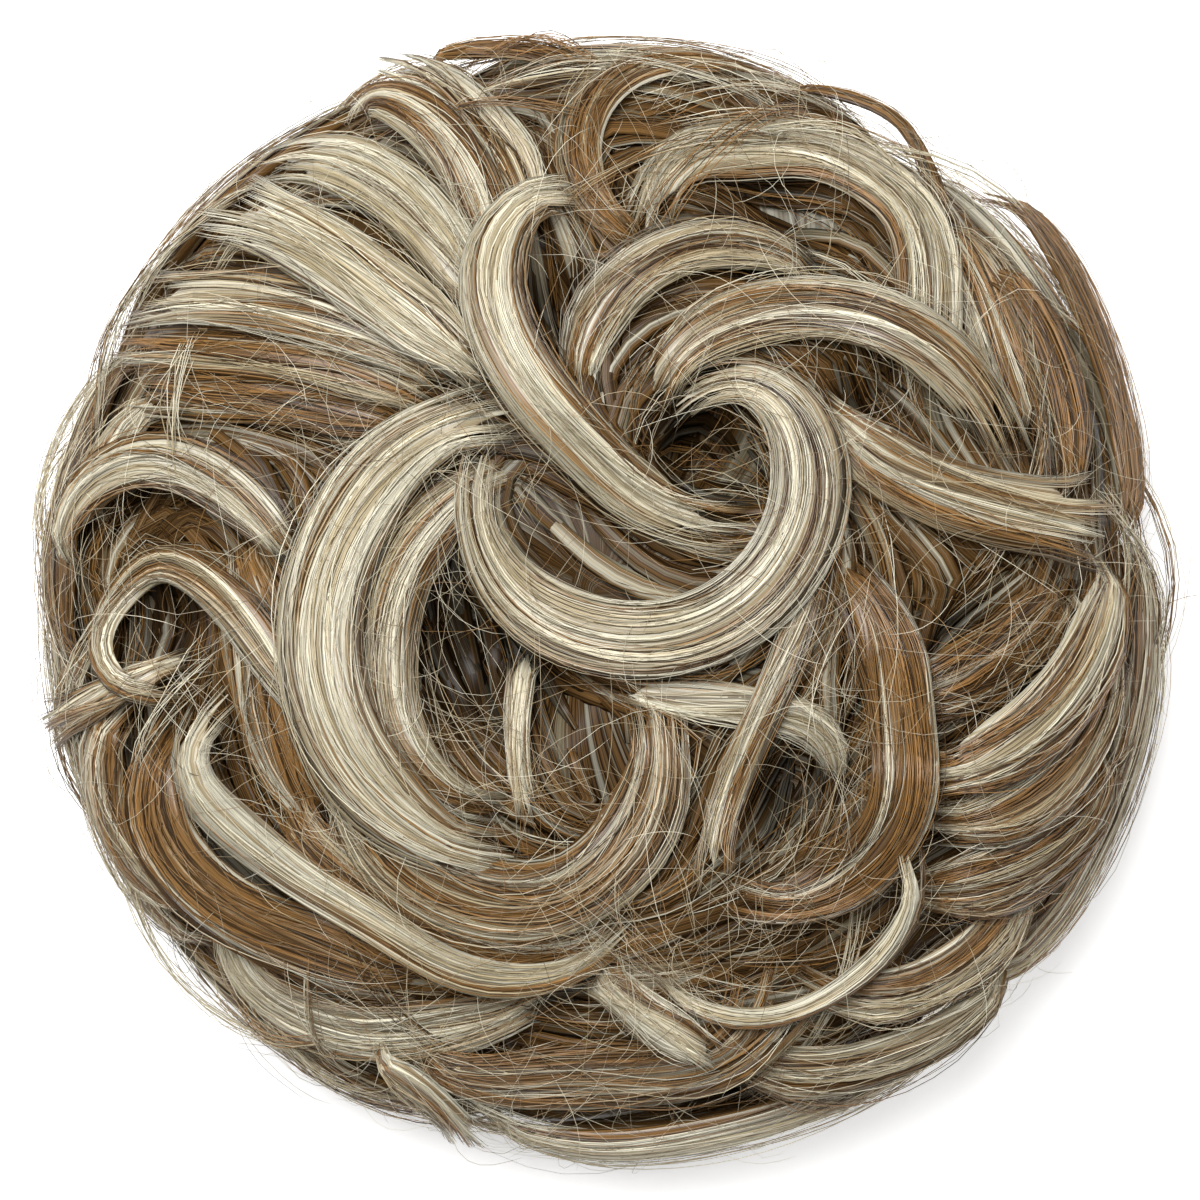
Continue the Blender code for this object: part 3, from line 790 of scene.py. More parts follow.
def eased(values):
    """Rows of values with their small kinks eased by a running mean, the two ends kept."""
    before = 2.0 * values[:1] - values[EASING:0:-1]
    after = 2.0 * values[-1:] - values[-2 : -2 - EASING : -1]
    padded = np.concatenate([before, values, after])
    weights = np.concatenate([np.arange(1, EASING + 2), np.arange(EASING, 0, -1)]) / (EASING + 1) ** 2
    return sum(weight * padded[i : i + len(values)] for i, weight in enumerate(weights))


def at_shares(laid, shares):
    """The lock's middle line, section axes and half width at shares of its length, of any shape."""
    known = np.linspace(0.0, 1.0, len(laid["half"]))
    read = [
        np.stack([np.interp(shares, known, column) for column in eased(values).T], axis=-1)
        for values in (lock_middle(laid), laid["across"], dome_normal(laid["direction"]))
    ]
    return read[0], unit(read[1]), unit(read[2]), np.interp(shares, known, laid["half"])


def lock_middle(laid):
    return dome_point(laid["direction"], laid["lift"])


def lock_length(laid):
    return float(np.linalg.norm(np.diff(lock_middle(laid), axis=0), axis=1).sum())


def fibre_steps(laid):
    """How many points a lock's fibres need, from how long they are and how far they turn."""
    along = unit(np.diff(lock_middle(laid), axis=0))
    turned = np.arccos(np.clip(np.sum(along[1:] * along[:-1], axis=1), -1.0, 1.0)).sum()
    return max(FEWEST_FIBRE_STEPS, round(lock_length(laid) / FIBRE_STEP), round(turned / FIBRE_TURN))


def is_cut(laid):
    """Whether a lock ends in cut tips that lie on top, and doesn't go in among the hair."""
    return laid["finish"] >= CUT_FINISH


def hidden_ends(laid, shares):
    """How near a place is to an end of its lock that goes in among the hair beneath: 1 at the end itself."""
    ends = 1.0 - smoothstep(shares / DIVE_SHARE)
    if not is_cut(laid):
        ends = ends + 1.0 - smoothstep((1.0 - shares) / DIVE_SHARE)
    return ends


def lock_fibres(laid, settings, rng, offset):
    """A lock's fibres, in wisps side by side over its core that drift a little and end at odd lengths."""
    width = laid["half"].max() * 2.0 * MM_PER_M
    wisps = max(FEWEST_WISPS, round(settings.wisps_per_mm * width))
    count = max(FEWEST_FIBRES, round(settings.fibres_per_mm * width))
    wisp = rng.integers(0, wisps, count)
    single = np.arange(count)
    ragged = RAGGED_CUT if is_cut(laid) else RAGGED_HIDDEN
    first = rng.uniform(0.0, 0.06, wisps)[wisp] + rng.uniform(0.0, 0.03, count)
    last = 1.0 - rng.uniform(0.0, ragged, wisps)[wisp] - rng.uniform(0.0, 0.04, count)
    shares = first[:, None] + (last - first)[:, None] * np.linspace(0.0, 1.0, fibre_steps(laid))
    middle, across, out, half = at_shares(laid, shares)
    spacing = 2.0 / wisps
    from_wisp = rng.normal(0.0, 0.30, count)
    place = (wisp + 0.5 + from_wisp) * spacing - 1.0
    drift = rng.normal(0.0, 0.9, wisps)[wisp, None] * (shares - 0.5)
    drift = drift + 0.35 * waves(wisp, shares, rng) + 0.14 * waves(single, shares, rng)
    side = place[:, None] + drift * spacing
    crest = rng.uniform(0.92, 1.12, wisps)[wisp] * rng.uniform(0.82, 1.0, count)
    ridge = 0.14 * np.clip(1.0 - (from_wisp / 0.5) ** 2, 0.0, 1.0)
    lift = (bulge(side) + 0.06) * (crest + ridge)[:, None]
    lift = lift + 0.07 * waves(wisp, shares, rng) + 0.04 * waves(single, shares, rng)
    stray = rng.random(count) < settings.stray_share
    bow = stray[:, None] * np.sin(np.pi * shares)
    side = side + 0.35 * bow * waves(single, shares, rng)
    lift = lift + bow * rng.uniform(0.2, 1.3, count)[:, None]
    if is_cut(laid):
        side = side * (1.0 + FRAY * smoothstep((shares - FRAY_START) / FRAY_SHARE))
    hidden = hidden_ends(laid, shares)
    side = side * (1.0 + ROOT_SPREAD * hidden)
    height = half * FLATNESS * lift - settings.dive * hidden
    paths = middle + across * (half * side)[..., None] + out * height[..., None]
    radius = settings.fibre_radius * rng.uniform(0.75, 1.15, count) * np.where(stray, STRAY_THINNESS, 1.0)
    lateral = offset + half.mean(axis=1) * place
    jitter = rng.normal(0.0, 0.9, wisps)[wisp] + rng.normal(0.0, 0.5, count)
    # Painted shade: fibres that lie low in the lock, at its edges and under the others, are darkened
    depth = np.clip(0.75 - 0.7 * lift, 0.0, 1.0)
    return fibres(
        paths, out, radius[:, None], lateral[:, None], jitter, depth, FIBRE_ROWS, low=CORE_BAND + MAP_MARGIN
    )


def lock_core(laid, settings, offset):
    """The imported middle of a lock, which closes the gaps between its fibres."""
    first, last = 0.03, 0.90 if is_cut(laid) else 0.97
    shares = np.linspace(first, last, max(10, round(lock_length(laid) / STEP)))[None]
    middle, across, out, half = at_shares(laid, shares)
    closing = 0.06 + 0.94 * smoothstep(np.minimum(shares - first, last - shares) / TIP_SHARE)
    paths = middle - out * (half * FLATNESS * 0.06 + settings.dive * hidden_ends(laid, shares))[..., None]
    edge = np.array([[MAP_MARGIN, MAP_MARGIN]])
    return Tubes(
        paths,
        across,
        out,
        half * 0.95 * closing,
        half * FLATNESS * 0.98 * closing,
        CORE_SIDES,
        np.full_like(half, offset),
        np.zeros(1),
        # Painted shade on the core, which lies under the fibres
        np.full_like(half, 0.3),
        edge,
        [1.0, CORE_BAND] - 2.0 * edge,
    )


def add_lock_piece(laid, settings, number):
    """One lock of the pile, dressed: its core and its fibres. number is its place in the pile."""
    rng = np.random.default_rng([settings.seed, number])
    offset = LOCK_OFFSET * number
    sets = [lock_core(laid, settings, offset), lock_fibres(laid, settings, rng, offset)]
    piece = mesh_of_tubes("hair_" + laid["name"], sets, fibre_material(laid["tone"], settings))
    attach(piece, "root")
    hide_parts(laid["name"])


# Hair between the locks, below them and off them


def settle(points):
    """The points of the dome under places near it, and the ways out of it there."""
    direction = direction_to(points)
    return dome_point(direction), dome_normal(direction)


def combed_paths(seeds, steps, spacing, rng):
    """Paths over the dome from seeds, each combed in the direction of the locks near it.

    The locks have no forward or backward way for this, so the direction at a place is the main axis of the
    locks round it, and paths that meet run side by side.
    """
    stations = np.concatenate([laid["on_dome"] for laid in PILE])
    along = np.concatenate([unit(np.gradient(laid["on_dome"], axis=0)) for laid in PILE])
    axes = (along[:, :, None] * along[:, None, :]).reshape(len(along), 9)
    here, out = settle(seeds)
    nearest = np.linalg.norm(here[:, None] - stations, axis=2).argmin(axis=1)
    heading = along[nearest] * rng.choice([-1.0, 1.0], (len(seeds), 1))
    bend = rng.normal(0.0, 0.10, (len(seeds), 1))
    path, ways_out = [here], [out]
    for _ in range(steps - 1):
        away = np.linalg.norm(here[:, None] - stations, axis=2)
        weight = 1.0 / (away**2 + COMB_REACH**2) ** 1.5
        pull = np.linalg.eigh((weight @ axes).reshape(-1, 3, 3))[1][:, :, -1]
        pull = pull * np.where(np.sum(pull * heading, axis=1, keepdims=True) < 0.0, -1.0, 1.0)
        heading = pull + COMB_HOLD * heading + bend * np.cross(out, heading)
        heading = unit(heading - out * np.sum(heading * out, axis=1, keepdims=True))
        here, out = settle(here + heading * spacing)
        path.append(here)
        ways_out.append(out)
    return np.stack(path, axis=1), np.stack(ways_out, axis=1)


def dome_seeds(count, low, high, rng):
    """Random places on the dome between two slopes, evenly spread over it."""
    slopes = np.linspace(low, high, 200)
    ring = np.sin(slopes) * np.hypot(BED_RADIUS * np.cos(slopes), BED_RISE * np.sin(slopes))
    total = np.cumsum(ring)
    slope = np.interp(rng.random(count) * total[-1], total, slopes)
    return dome_point(round_direction(slope, rng.uniform(0.0, 2.0 * np.pi, count)))


def dent_seeds(each, rng):
    """Random places in and round the dents, where the hair between the locks shows most."""
    middles = np.repeat([(dent.x, dent.y) for dent in DENTS], each, axis=0) * BUN_RADIUS
    widest = np.repeat([dent.radius for dent in DENTS], each) * BUN_RADIUS
    reach = widest * np.sqrt(rng.random(len(widest)))
    around = rng.uniform(0.0, 2.0 * np.pi, len(reach))
    x = middles[:, 0] + reach * np.cos(around)
    y = middles[:, 1] + reach * np.sin(around)
    sine = np.hypot(x, y) / BED_RADIUS
    return dome_point(round_direction(np.arcsin(sine), np.arctan2(y, x)))


def combed_wisps(seeds, settings, rng):
    """Flat wisps that lie over one another on the dome, one from each seed, and fill the gaps of the pile."""
    path, out = combed_paths(seeds, WISP_STEPS, WISP_STEP, rng)
    across, up = section_axes(path, out)
    share = np.linspace(0.0, 1.0, WISP_STEPS)
    count = len(seeds)
    closing = 0.25 + 0.75 * np.sin(np.pi * share) ** 0.6
    half = settings.wisp_width / 2 * rng.uniform(0.6, 1.4, (count, 1)) * closing
    ground = dome_lift(direction_to(path))
    rise = ground + rng.uniform(0.0, WISP_RISE, (count, 1)) * np.sin(np.pi * share) - WISP_SINK
    # Painted shade: each wisp is darkened at random as hair in the gaps, and more the deeper it lies in a
    # dent
    sunk = np.clip(-ground / DENT_SHADE_DEPTH, 0.0, 1.0)
    depth = rng.uniform(0.40, 0.80, (count, 1)) + 0.55 * sunk
    return Tubes(
        path + out * rise[..., None],
        across,
        up,
        half,
        half * WISP_FLATNESS,
        WISP_SIDES,
        np.broadcast_to(rng.uniform(0.0, 1.0, (count, 1)), half.shape),
        rng.normal(0.0, 1.2, count),
        np.clip(depth, 0.0, 1.0),
        *map_columns(count, 0.0, 4),
    )


def combed_fibres(seeds, settings, rng):
    """Tufts of fibres that lie side by side between the locks, one tuft from each seed."""
    path, out = combed_paths(seeds, TUFT_STEPS, TUFT_STEP, rng)
    tuft = np.repeat(np.arange(len(seeds)), settings.tuft_fibres)
    single = np.arange(len(tuft))
    path, out = path[tuft], out[tuft]
    share = np.linspace(0.0, 1.0, TUFT_STEPS)
    spread = rng.normal(0.0, TUFT_SPREAD, len(tuft))[:, None] * (0.7 + 0.6 * share)
    spread = spread + 0.0003 * waves(single, share, rng)
    tuft_rise = rng.uniform(0.0, 1.0, len(seeds))[tuft, None]
    crest = TUFT_SINK + TUFT_RISE * tuft_rise**2 + rng.uniform(0.0, 0.0006, (len(tuft), 1))
    rise = crest * np.sin(np.pi * share) - TUFT_SINK + dome_lift(direction_to(path))
    across, _ = section_axes(path, out)
    paths = path + across * spread[..., None] + out * rise[..., None]
    radius = settings.comb_radius * rng.uniform(0.7, 1.2, (len(tuft), 1))
    lateral = rng.uniform(0.0, 1.0, len(seeds))[tuft, None] + spread.mean(axis=1, keepdims=True)
    # Painted shade: the tufts that lie lowest are darkened most
    depth = np.clip(0.6 - 0.6 * tuft_rise, 0.0, 1.0)
    jitter = rng.normal(0.0, 0.9, len(seeds))[tuft] + rng.normal(0.0, 0.6, len(tuft))
    return fibres(paths, out, radius, lateral, jitter, depth, rows=8)


def weft_fibres(settings, rng):
    """Hair of the underside: it is sewn to the elastic and sweeps out and round to the side."""
    count = settings.weft_fibres
    share = np.linspace(0.0, 1.0, WEFT_STEPS)
    around = rng.uniform(0.0, 2.0 * np.pi, (count, 1))
    turn = around + rng.uniform(0.5, 1.1, (count, 1)) * share**1.4
    inner = BAND_RADIUS + BAND_THICKNESS / 2 + LIP_INSET
    outer = BED_RADIUS * math.sin(FOOT_ANGLE) + WEFT_OVERHANG
    radius = inner + (outer - inner) * share
    height = rng.uniform(0.0004, 0.0010, (count, 1)) + WEFT_CLIMB * smoothstep((share - 0.80) / 0.45)
    paths = np.stack([radius * np.cos(turn), radius * np.sin(turn), height], axis=-1)
    out = np.broadcast_to([0.0, 0.0, -1.0], paths.shape)
    thick = settings.fibre_radius * rng.uniform(0.8, 1.3, (count, 1))
    # Painted shade: the underside's hair gets a depth of 0.4
    return fibres(paths, out, thick, 0.03 * around, rng.normal(0.0, 1.0, count), 0.4, rows=4)


def loose_roots(count, rng):
    """Places on the locks for loose hairs to leave from, and which way each one sets off."""
    locks = PILE[SIDE_LOCKS:]
    weights = np.array([lock_length(laid) * VEILS.get(laid["name"], 1.0) for laid in locks])
    which = rng.choice(len(locks), count, p=weights / weights.sum())
    root, heading, out = np.empty((3, count, 3))
    for i, laid in enumerate(locks):
        mine = which == i
        middle, across, out[mine], half = at_shares(laid, rng.uniform(0.03, 0.97, mine.sum()))
        sideways = across * (half * rng.uniform(-0.8, 0.8, mine.sum()))[:, None]
        root[mine] = middle + sideways + out[mine] * (half * FLATNESS * 0.6)[:, None]
        heading[mine] = np.cross(across, out[mine])
    turn = rng.normal(0.0, 0.7, (count, 1)) + rng.choice([0.0, np.pi], (count, 1))
    return root, heading * np.cos(turn) + np.cross(out, heading) * np.sin(turn), out


def rim_roots(count, rng):
    """Places round the rim for loose hairs to leave from, and which way each one sets off."""
    slope, around = rng.uniform(RIM_HIGH, RIM_LOW, count), rng.uniform(0.0, 2.0 * np.pi, count)
    direction = round_direction(slope, around)
    out = dome_normal(direction)
    round_it = np.stack([-np.sin(around), np.cos(around), np.zeros(count)], axis=1)
    turn = rng.normal(0.0, 0.6, (count, 1)) + rng.choice([0.0, np.pi], (count, 1))
    heading = round_it * np.cos(turn) + np.cross(out, round_it) * np.sin(turn)
    return dome_point(direction, RIM_BULK * rng.uniform(0.3, 1.0, count)), heading, out


def loose_fibres(root, heading, out, wildness, settings, rng):
    """Single hairs in thin arcs from their roots. wildness is how far the wildest ends stand off."""
    count = len(root)
    share = np.linspace(0.0, 1.0, LOOSE_STEPS)
    length = rng.gamma(3.0, 0.0052, (count, 1)).clip(LOOSE_SHORTEST, LOOSE_LONGEST)
    angle = rng.normal(0.0, 1.1, (count, 1)) * share
    reach = (length * share * np.sinc(angle / (2.0 * np.pi)))[..., None]
    half_turn = (angle / 2.0)[..., None]
    sideways = np.cross(out, heading)[:, None]
    paths = root[:, None] + reach * (heading[:, None] * np.cos(half_turn) + sideways * np.sin(half_turn))
    base, way_out = settle(paths)
    start = np.sum((root - base[:, 0]) * way_out[:, 0], axis=1)[:, None]
    rise = rng.uniform(0.0005, 0.0035, (count, 1)) * np.clip(length / 0.016, 0.5, 1.2)
    stand = start * (1.0 - 0.25 * share) + rise * np.sin(np.pi * share**0.8)
    stand = stand + wildness * rng.random((count, 1)) ** 2 * share**2
    paths = base + way_out * np.maximum(stand, LOOSE_LIFT)[..., None]
    radius = settings.loose_radius * rng.uniform(0.7, 1.3, (count, 1))
    lateral = rng.uniform(0.0, 1.0, (count, 1))
    return fibres(paths, way_out, radius, lateral, rng.normal(0.0, 1.0, count), 0.0, rows=6)


def rim_fibres(settings, rng):
    """Thin wisps that leave the rim and come back to it in flat arcs, so that its outline is loose."""
    count = settings.rim_wisps
    share = np.linspace(0.0, 1.0, RIM_STEPS)
    wisp = np.repeat(np.arange(count), RIM_FIBRES)
    single = np.arange(len(wisp))
    span = rng.uniform(0.22, 0.60, (count, 1)) * rng.choice([-1.0, 1.0], (count, 1))
    around = rng.uniform(0.0, 2.0 * np.pi, (count, 1)) + span * share
    slope = rng.uniform(1.05, 1.66, (count, 1)) + rng.normal(0.0, 0.22, (count, 1)) * share
    stand = 0.0028 + rng.uniform(0.0005, 0.0050, (count, 1)) * np.sin(np.pi * share)
    turn = around[wisp] + 0.010 * waves(single, share, rng)
    turn = turn + 0.03 * rng.normal(0.0, 1.0, (len(wisp), 1)) * share
    tilt = slope[wisp] + rng.normal(0.0, 0.014, (len(wisp), 1)) + 0.012 * waves(single, share, rng)
    lift = stand[wisp] + rng.normal(0.0, 0.0004, (len(wisp), 1))
    direction = round_direction(tilt, turn)
    radius = settings.comb_radius * rng.uniform(0.7, 1.2, (len(wisp), 1))
    jitter = rng.normal(0.0, 1.0, count)[wisp] + rng.normal(0.0, 0.6, len(wisp))
    lateral = rng.uniform(0.0, 1.0, count)[wisp, None] + rng.normal(0.0, 0.0004, (len(wisp), 1))
    return fibres(dome_point(direction, lift), dome_normal(direction), radius, lateral, jitter, 0.1, rows=4)


# Materials


def node(tree, kind, **values):
    made = tree.nodes.new(kind)
    for key, value in values.items():
        setattr(made, key, value)
    return made


def mapped(tree, value, low, high, to_low=0.0, to_high=1.0, smooth=True):
    """A Map Range of a socket, smooth stepped unless told otherwise."""
    made = node(tree, "ShaderNodeMapRange", interpolation_type="SMOOTHSTEP" if smooth else "LINEAR")
    tree.links.new(value, made.inputs["Value"])
    for key, number in zip(("From Min", "From Max", "To Min", "To Max"), (low, high, to_low, to_high)):
        made.inputs[key].default_value = number
    return made.outputs["Result"]


def maths(tree, operation, first, second):
    made = node(tree, "ShaderNodeMath", operation=operation)
    for i, value in enumerate((first, second)):
        if isinstance(value, (int, float)):
            made.inputs[i].default_value = value
        else:
            tree.links.new(value, made.inputs[i])
    return made.outputs["Value"]


def mixed(tree, share, first, second):
    made = node(tree, "ShaderNodeMix", data_type="RGBA")
    tree.links.new(share, made.inputs["Factor"])
    tree.links.new(first, made.inputs["A"])
    tree.links.new(second, made.inputs["B"])
    return made.outputs["Result"]


def streak_noise(tree, lateral, along, width, run, seed):
    """Noise drawn out along the fibre: width and run are the sizes of its streaks, in millimetres."""
    place = node(tree, "ShaderNodeCombineXYZ")
    tree.links.new(maths(tree, "MULTIPLY", lateral, 1.0 / width), place.inputs["X"])
    tree.links.new(maths(tree, "MULTIPLY", along, 1.0 / run), place.inputs["Y"])
    place.inputs["Z"].default_value = seed
    noise = node(tree, "ShaderNodeTexNoise")
    tree.links.new(place.outputs["Vector"], noise.inputs["Vector"])
    noise.inputs["Scale"].default_value = 1.0
    noise.inputs["Detail"].default_value = 0.0
    return noise.outputs["Fac"]


# Streaks of the fibre: their width and length in millimetres, and where each noise is read
STREAKS = {
    "broad": (1.2, 90.0, 1.3),
    "fine": (0.27, 60.0, 7.9),
    "finest": (0.11, 40.0, 5.2),
    "ashen": (0.36, 45.0, 4.1),
    "hair": (0.07, 30.0, 2.6),
}
STREAK_WEIGHTS = {"broad": 0.58, "fine": 0.26, "finest": 0.16}
JITTER_WEIGHT = 0.047

# How much of each tone is pale, how much painted shade its low and hidden fibres get, and how bright its
# gloss is
PALE_SHARES = {"blonde": 0.74, "ash": 0.56, "mixed": 0.40, "brown": 0.14, "under": 0.24, "loose": 0.60}
SHADES = {"under": 0.90, "loose": 0.0}
GLOSSES = {"under": 0.12}
USUAL_SHADE = 0.70
USUAL_GLOSS = 0.40
FIBRE_ROUGHNESS = 0.34

# The elastic's cover, as shares of its own colour: painted shade between the threads, painted light on the
# raised threads
SHADED_BETWEEN_THREADS = 0.5
LIT_RAISED_THREADS = 1.4


def fibre_group():
    """Streaks of pale, ash and warm fibre side by side, from the places that each fibre carries, with painted
    shade on fibre that lies low or hidden.
    """
    made = bpy.data.node_groups.get("Fibre Streaks")
    if made is not None:
        return made
    tree = bpy.data.node_groups.new("Fibre Streaks", "ShaderNodeTree")
    for name in ("Pale", "Ash", "Warm", "Deep"):
        tree.interface.new_socket(name=name, in_out="INPUT", socket_type="NodeSocketColor")
    for name in ("Pale Share", "Shade"):
        tree.interface.new_socket(name=name, in_out="INPUT", socket_type="NodeSocketFloat")
    tree.interface.new_socket(name="Colour", in_out="OUTPUT", socket_type="NodeSocketColor")
    given = node(tree, "NodeGroupInput")
    put = node(tree, "NodeGroupOutput")
    values = {}
    for name in ("lateral", "along", "jitter", "depth"):
        values[name] = node(tree, "ShaderNodeAttribute", attribute_name=name).outputs["Fac"]
    lateral, along = values["lateral"], values["along"]
    noises = {name: streak_noise(tree, lateral, along, *sizes) for name, sizes in STREAKS.items()}
    mask = maths(tree, "MULTIPLY", values["jitter"], JITTER_WEIGHT)
    for name, weight in STREAK_WEIGHTS.items():
        mask = maths(tree, "ADD", mask, maths(tree, "MULTIPLY", noises[name], weight))
    lean = maths(tree, "MULTIPLY", maths(tree, "SUBTRACT", given.outputs["Pale Share"], 0.5), 0.35)
    mask = mapped(tree, maths(tree, "ADD", mask, lean), 0.43, 0.57)
    pale = mixed(tree, mapped(tree, noises["ashen"], 0.37, 0.63), given.outputs["Pale"], given.outputs["Ash"])
    deep_share = mapped(tree, noises["finest"], 0.53, 0.34)
    warm = mixed(tree, deep_share, given.outputs["Warm"], given.outputs["Deep"])
    colour = mixed(tree, mask, warm, pale)
    # Painted shade: depth times Shade darkens fibre that lies low or hidden; the hair noise then varies each
    # fibre's own brightness at random
    dark = maths(tree, "MULTIPLY", values["depth"], given.outputs["Shade"])
    dark = maths(tree, "SUBTRACT", 1.0, dark)
    single = mapped(tree, noises["hair"], 0.29, 0.71, 0.58, 1.12, smooth=False)
    dark = maths(tree, "MULTIPLY", dark, single)
    shaded = node(tree, "ShaderNodeVectorMath", operation="SCALE")
    tree.links.new(colour, shaded.inputs[0])
    tree.links.new(dark, shaded.inputs["Scale"])
    tree.links.new(shaded.outputs["Vector"], put.inputs["Colour"])
    return tree


def fibre_material(tone, settings):
    """Glossy two-tone fibre. A tone is how much of it is pale."""
    made = bpy.data.materials.get("fibre_" + tone)
    if made is not None:
        return made
    made = bpy.data.materials.new("fibre_" + tone)
    made.use_nodes = True
    tree = made.node_tree
    shader = tree.nodes["Principled BSDF"]
    streaks = node(tree, "ShaderNodeGroup", node_tree=fibre_group())
    for name, colour in (
        ("Pale", settings.pale_colour),
        ("Ash", settings.ash_colour),
        ("Warm", settings.warm_colour),
        ("Deep", settings.deep_colour),
    ):
        streaks.inputs[name].default_value = (*colour, 1.0)
    streaks.inputs["Pale Share"].default_value = PALE_SHARES[tone]
    # Shade is how much painted shade the tone's low and hidden fibre gets
    streaks.inputs["Shade"].default_value = SHADES.get(tone, USUAL_SHADE)
    tree.links.new(streaks.outputs["Colour"], shader.inputs["Base Color"])
    shader.inputs["Roughness"].default_value = FIBRE_ROUGHNESS
    shader.inputs["Specular IOR Level"].default_value = GLOSSES.get(tone, USUAL_GLOSS)
    return made


def elastic_material(settings):
    """Covered elastic: fine round threads that run round the ring, in a dull dark brown, with painted shade
    between the threads and painted light on the raised ones.
    """
    made = bpy.data.materials.new("covered_elastic")
    made.use_nodes = True
    tree = made.node_tree
    shader = tree.nodes["Principled BSDF"]
    place = node(tree, "ShaderNodeUVMap", uv_map=MAP_NAME)
    wave = node(tree, "ShaderNodeTexWave", wave_type="BANDS", bands_direction="Y")
    wave.inputs["Scale"].default_value = 9.0
    wave.inputs["Distortion"].default_value = 0.6
    tree.links.new(place.outputs["UV"], wave.inputs["Vector"])
    noise = node(tree, "ShaderNodeTexNoise")
    noise.inputs["Scale"].default_value = 180.0
    tree.links.new(place.outputs["UV"], noise.inputs["Vector"])
    threads = maths(tree, "MULTIPLY", wave.outputs["Fac"], 0.7)
    fuzz = maths(tree, "MULTIPLY", noise.outputs["Fac"], 0.4)
    blend = maths(tree, "ADD", threads, fuzz)
    # The ramp paints shade between the threads and light on the raised threads
    ramp = node(tree, "ShaderNodeValToRGB")
    between, raised = ramp.color_ramp.elements
    between.position = 0.15
    raised.position = 0.95
    between.color = (*(SHADED_BETWEEN_THREADS * value for value in settings.band_colour), 1.0)
    raised.color = (*(LIT_RAISED_THREADS * value for value in settings.band_colour), 1.0)
    tree.links.new(blend, ramp.inputs["Fac"])
    tree.links.new(ramp.outputs["Color"], shader.inputs["Base Color"])
    bump = node(tree, "ShaderNodeBump")
    bump.inputs["Strength"].default_value = 0.7
    bump.inputs["Distance"].default_value = 0.0003
    tree.links.new(blend, bump.inputs["Height"])
    tree.links.new(bump.outputs["Normal"], shader.inputs["Normal"])
    shader.inputs["Roughness"].default_value = 0.82
    shader.inputs["Specular IOR Level"].default_value = 0.15
    return made


def floor_material():
    """The pale floor, lit from within a little as a light table is, so that it keeps no hard shadow."""
    made = bpy.data.materials.new("pale_floor")
    made.use_nodes = True
    shader = made.node_tree.nodes["Principled BSDF"]
    shader.inputs["Base Color"].default_value = (FLOOR_WHITE, FLOOR_WHITE, FLOOR_WHITE, 1.0)
    shader.inputs["Roughness"].default_value = 0.9
    shader.inputs["Specular IOR Level"].default_value = 0.1
    shader.inputs["Emission Color"].default_value = (1.0, 1.0, 1.0, 1.0)
    shader.inputs["Emission Strength"].default_value = FLOOR_GLOW
    return made


# Pieces


def add_object(name, bm, material):
    bmesh.ops.recalc_face_normals(bm, faces=bm.faces)
    bmesh.ops.translate(bm, verts=bm.verts, vec=SHIFT)
    mesh = bpy.data.meshes.new(name)
    bm.to_mesh(mesh)
    bm.free()
    mesh.shade_smooth()
    return place_object(name, mesh, material)


def packed_profile(inset):
    """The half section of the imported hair, drawn in from the under hair's own by an inset."""
    slopes = np.linspace(0.0, FOOT_ANGLE - 0.03, 40)
    dome = [
        ((BED_RADIUS - inset) * math.sin(a), BED_MIDDLE + (BED_RISE - inset) * math.cos(a)) for a in slopes
    ]
    wall = BAND_RADIUS + BAND_THICKNESS / 2 + LIP_INSET
    mouth = [(wall, inset), (wall, BAND_FOOT + BAND_THICKNESS)]
    inner = BAND_RADIUS + LIP_INSET
    ceiling = [
        (inner * math.cos(a), HOLLOW_WALL + (HOLLOW_HEIGHT - HOLLOW_WALL) * math.sin(a))
        for a in np.linspace(0.0, math.pi / 2, 12)
    ]
    ceiling[-1] = (0.0, HOLLOW_HEIGHT)
    return [*dome, *mouth, (inner, BAND_FOOT + BAND_THICKNESS + 0.001), *ceiling]


def add_packed_hair(settings):
    """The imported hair: a shell under every lock, with the under hair's flutes and dents and the hollow."""
    bm = bmesh.new()
    section = [bm.verts.new((radius, 0.0, height)) for radius, height in packed_profile(PACKED_INSET)]
    edges = [bm.edges.new(pair) for pair in zip(section, section[1:])]
    bmesh.ops.spin(
        bm,
        geom=[*section, *edges],
        axis=(0, 0, 1),
        cent=(0, 0, 0),
        angle=2.0 * math.pi,
        steps=PACKED_STEPS,
        use_merge=True,
    )
    bmesh.ops.remove_doubles(bm, verts=bm.verts, dist=JOIN_DISTANCE)
    shell = SEMI_AXES - PACKED_INSET
    for vert in bm.verts:
        offset = (np.array(vert.co) - MIDDLE) / shell
        if abs(np.linalg.norm(offset) - 1.0) < ON_SHELL:
            direction = unit(offset)
            vert.co = dome_point(direction, dome_lift(direction) - PACKED_INSET)
    carry_streaks(bm)
    return add_object("packed_hair", bm, fibre_material("under", settings))


def carry_streaks(bm):
    """Gives corners what the fibre's material reads, so that its streaks swirl out from the middle, and
    painted shade over all of it.
    """
    layers = {name: bm.verts.layers.float.new(name) for name in ("lateral", "along", "depth")}
    for vert in bm.verts:
        reach = math.hypot(vert.co.x, vert.co.y)
        turn = math.atan2(vert.co.y, vert.co.x) - SWIRL * reach / BED_RADIUS
        vert[layers["lateral"]] = STREAK_GIRTH * MM_PER_M * turn
        vert[layers["along"]] = reach * MM_PER_M
        vert[layers["depth"]] = PACKED_SHADE


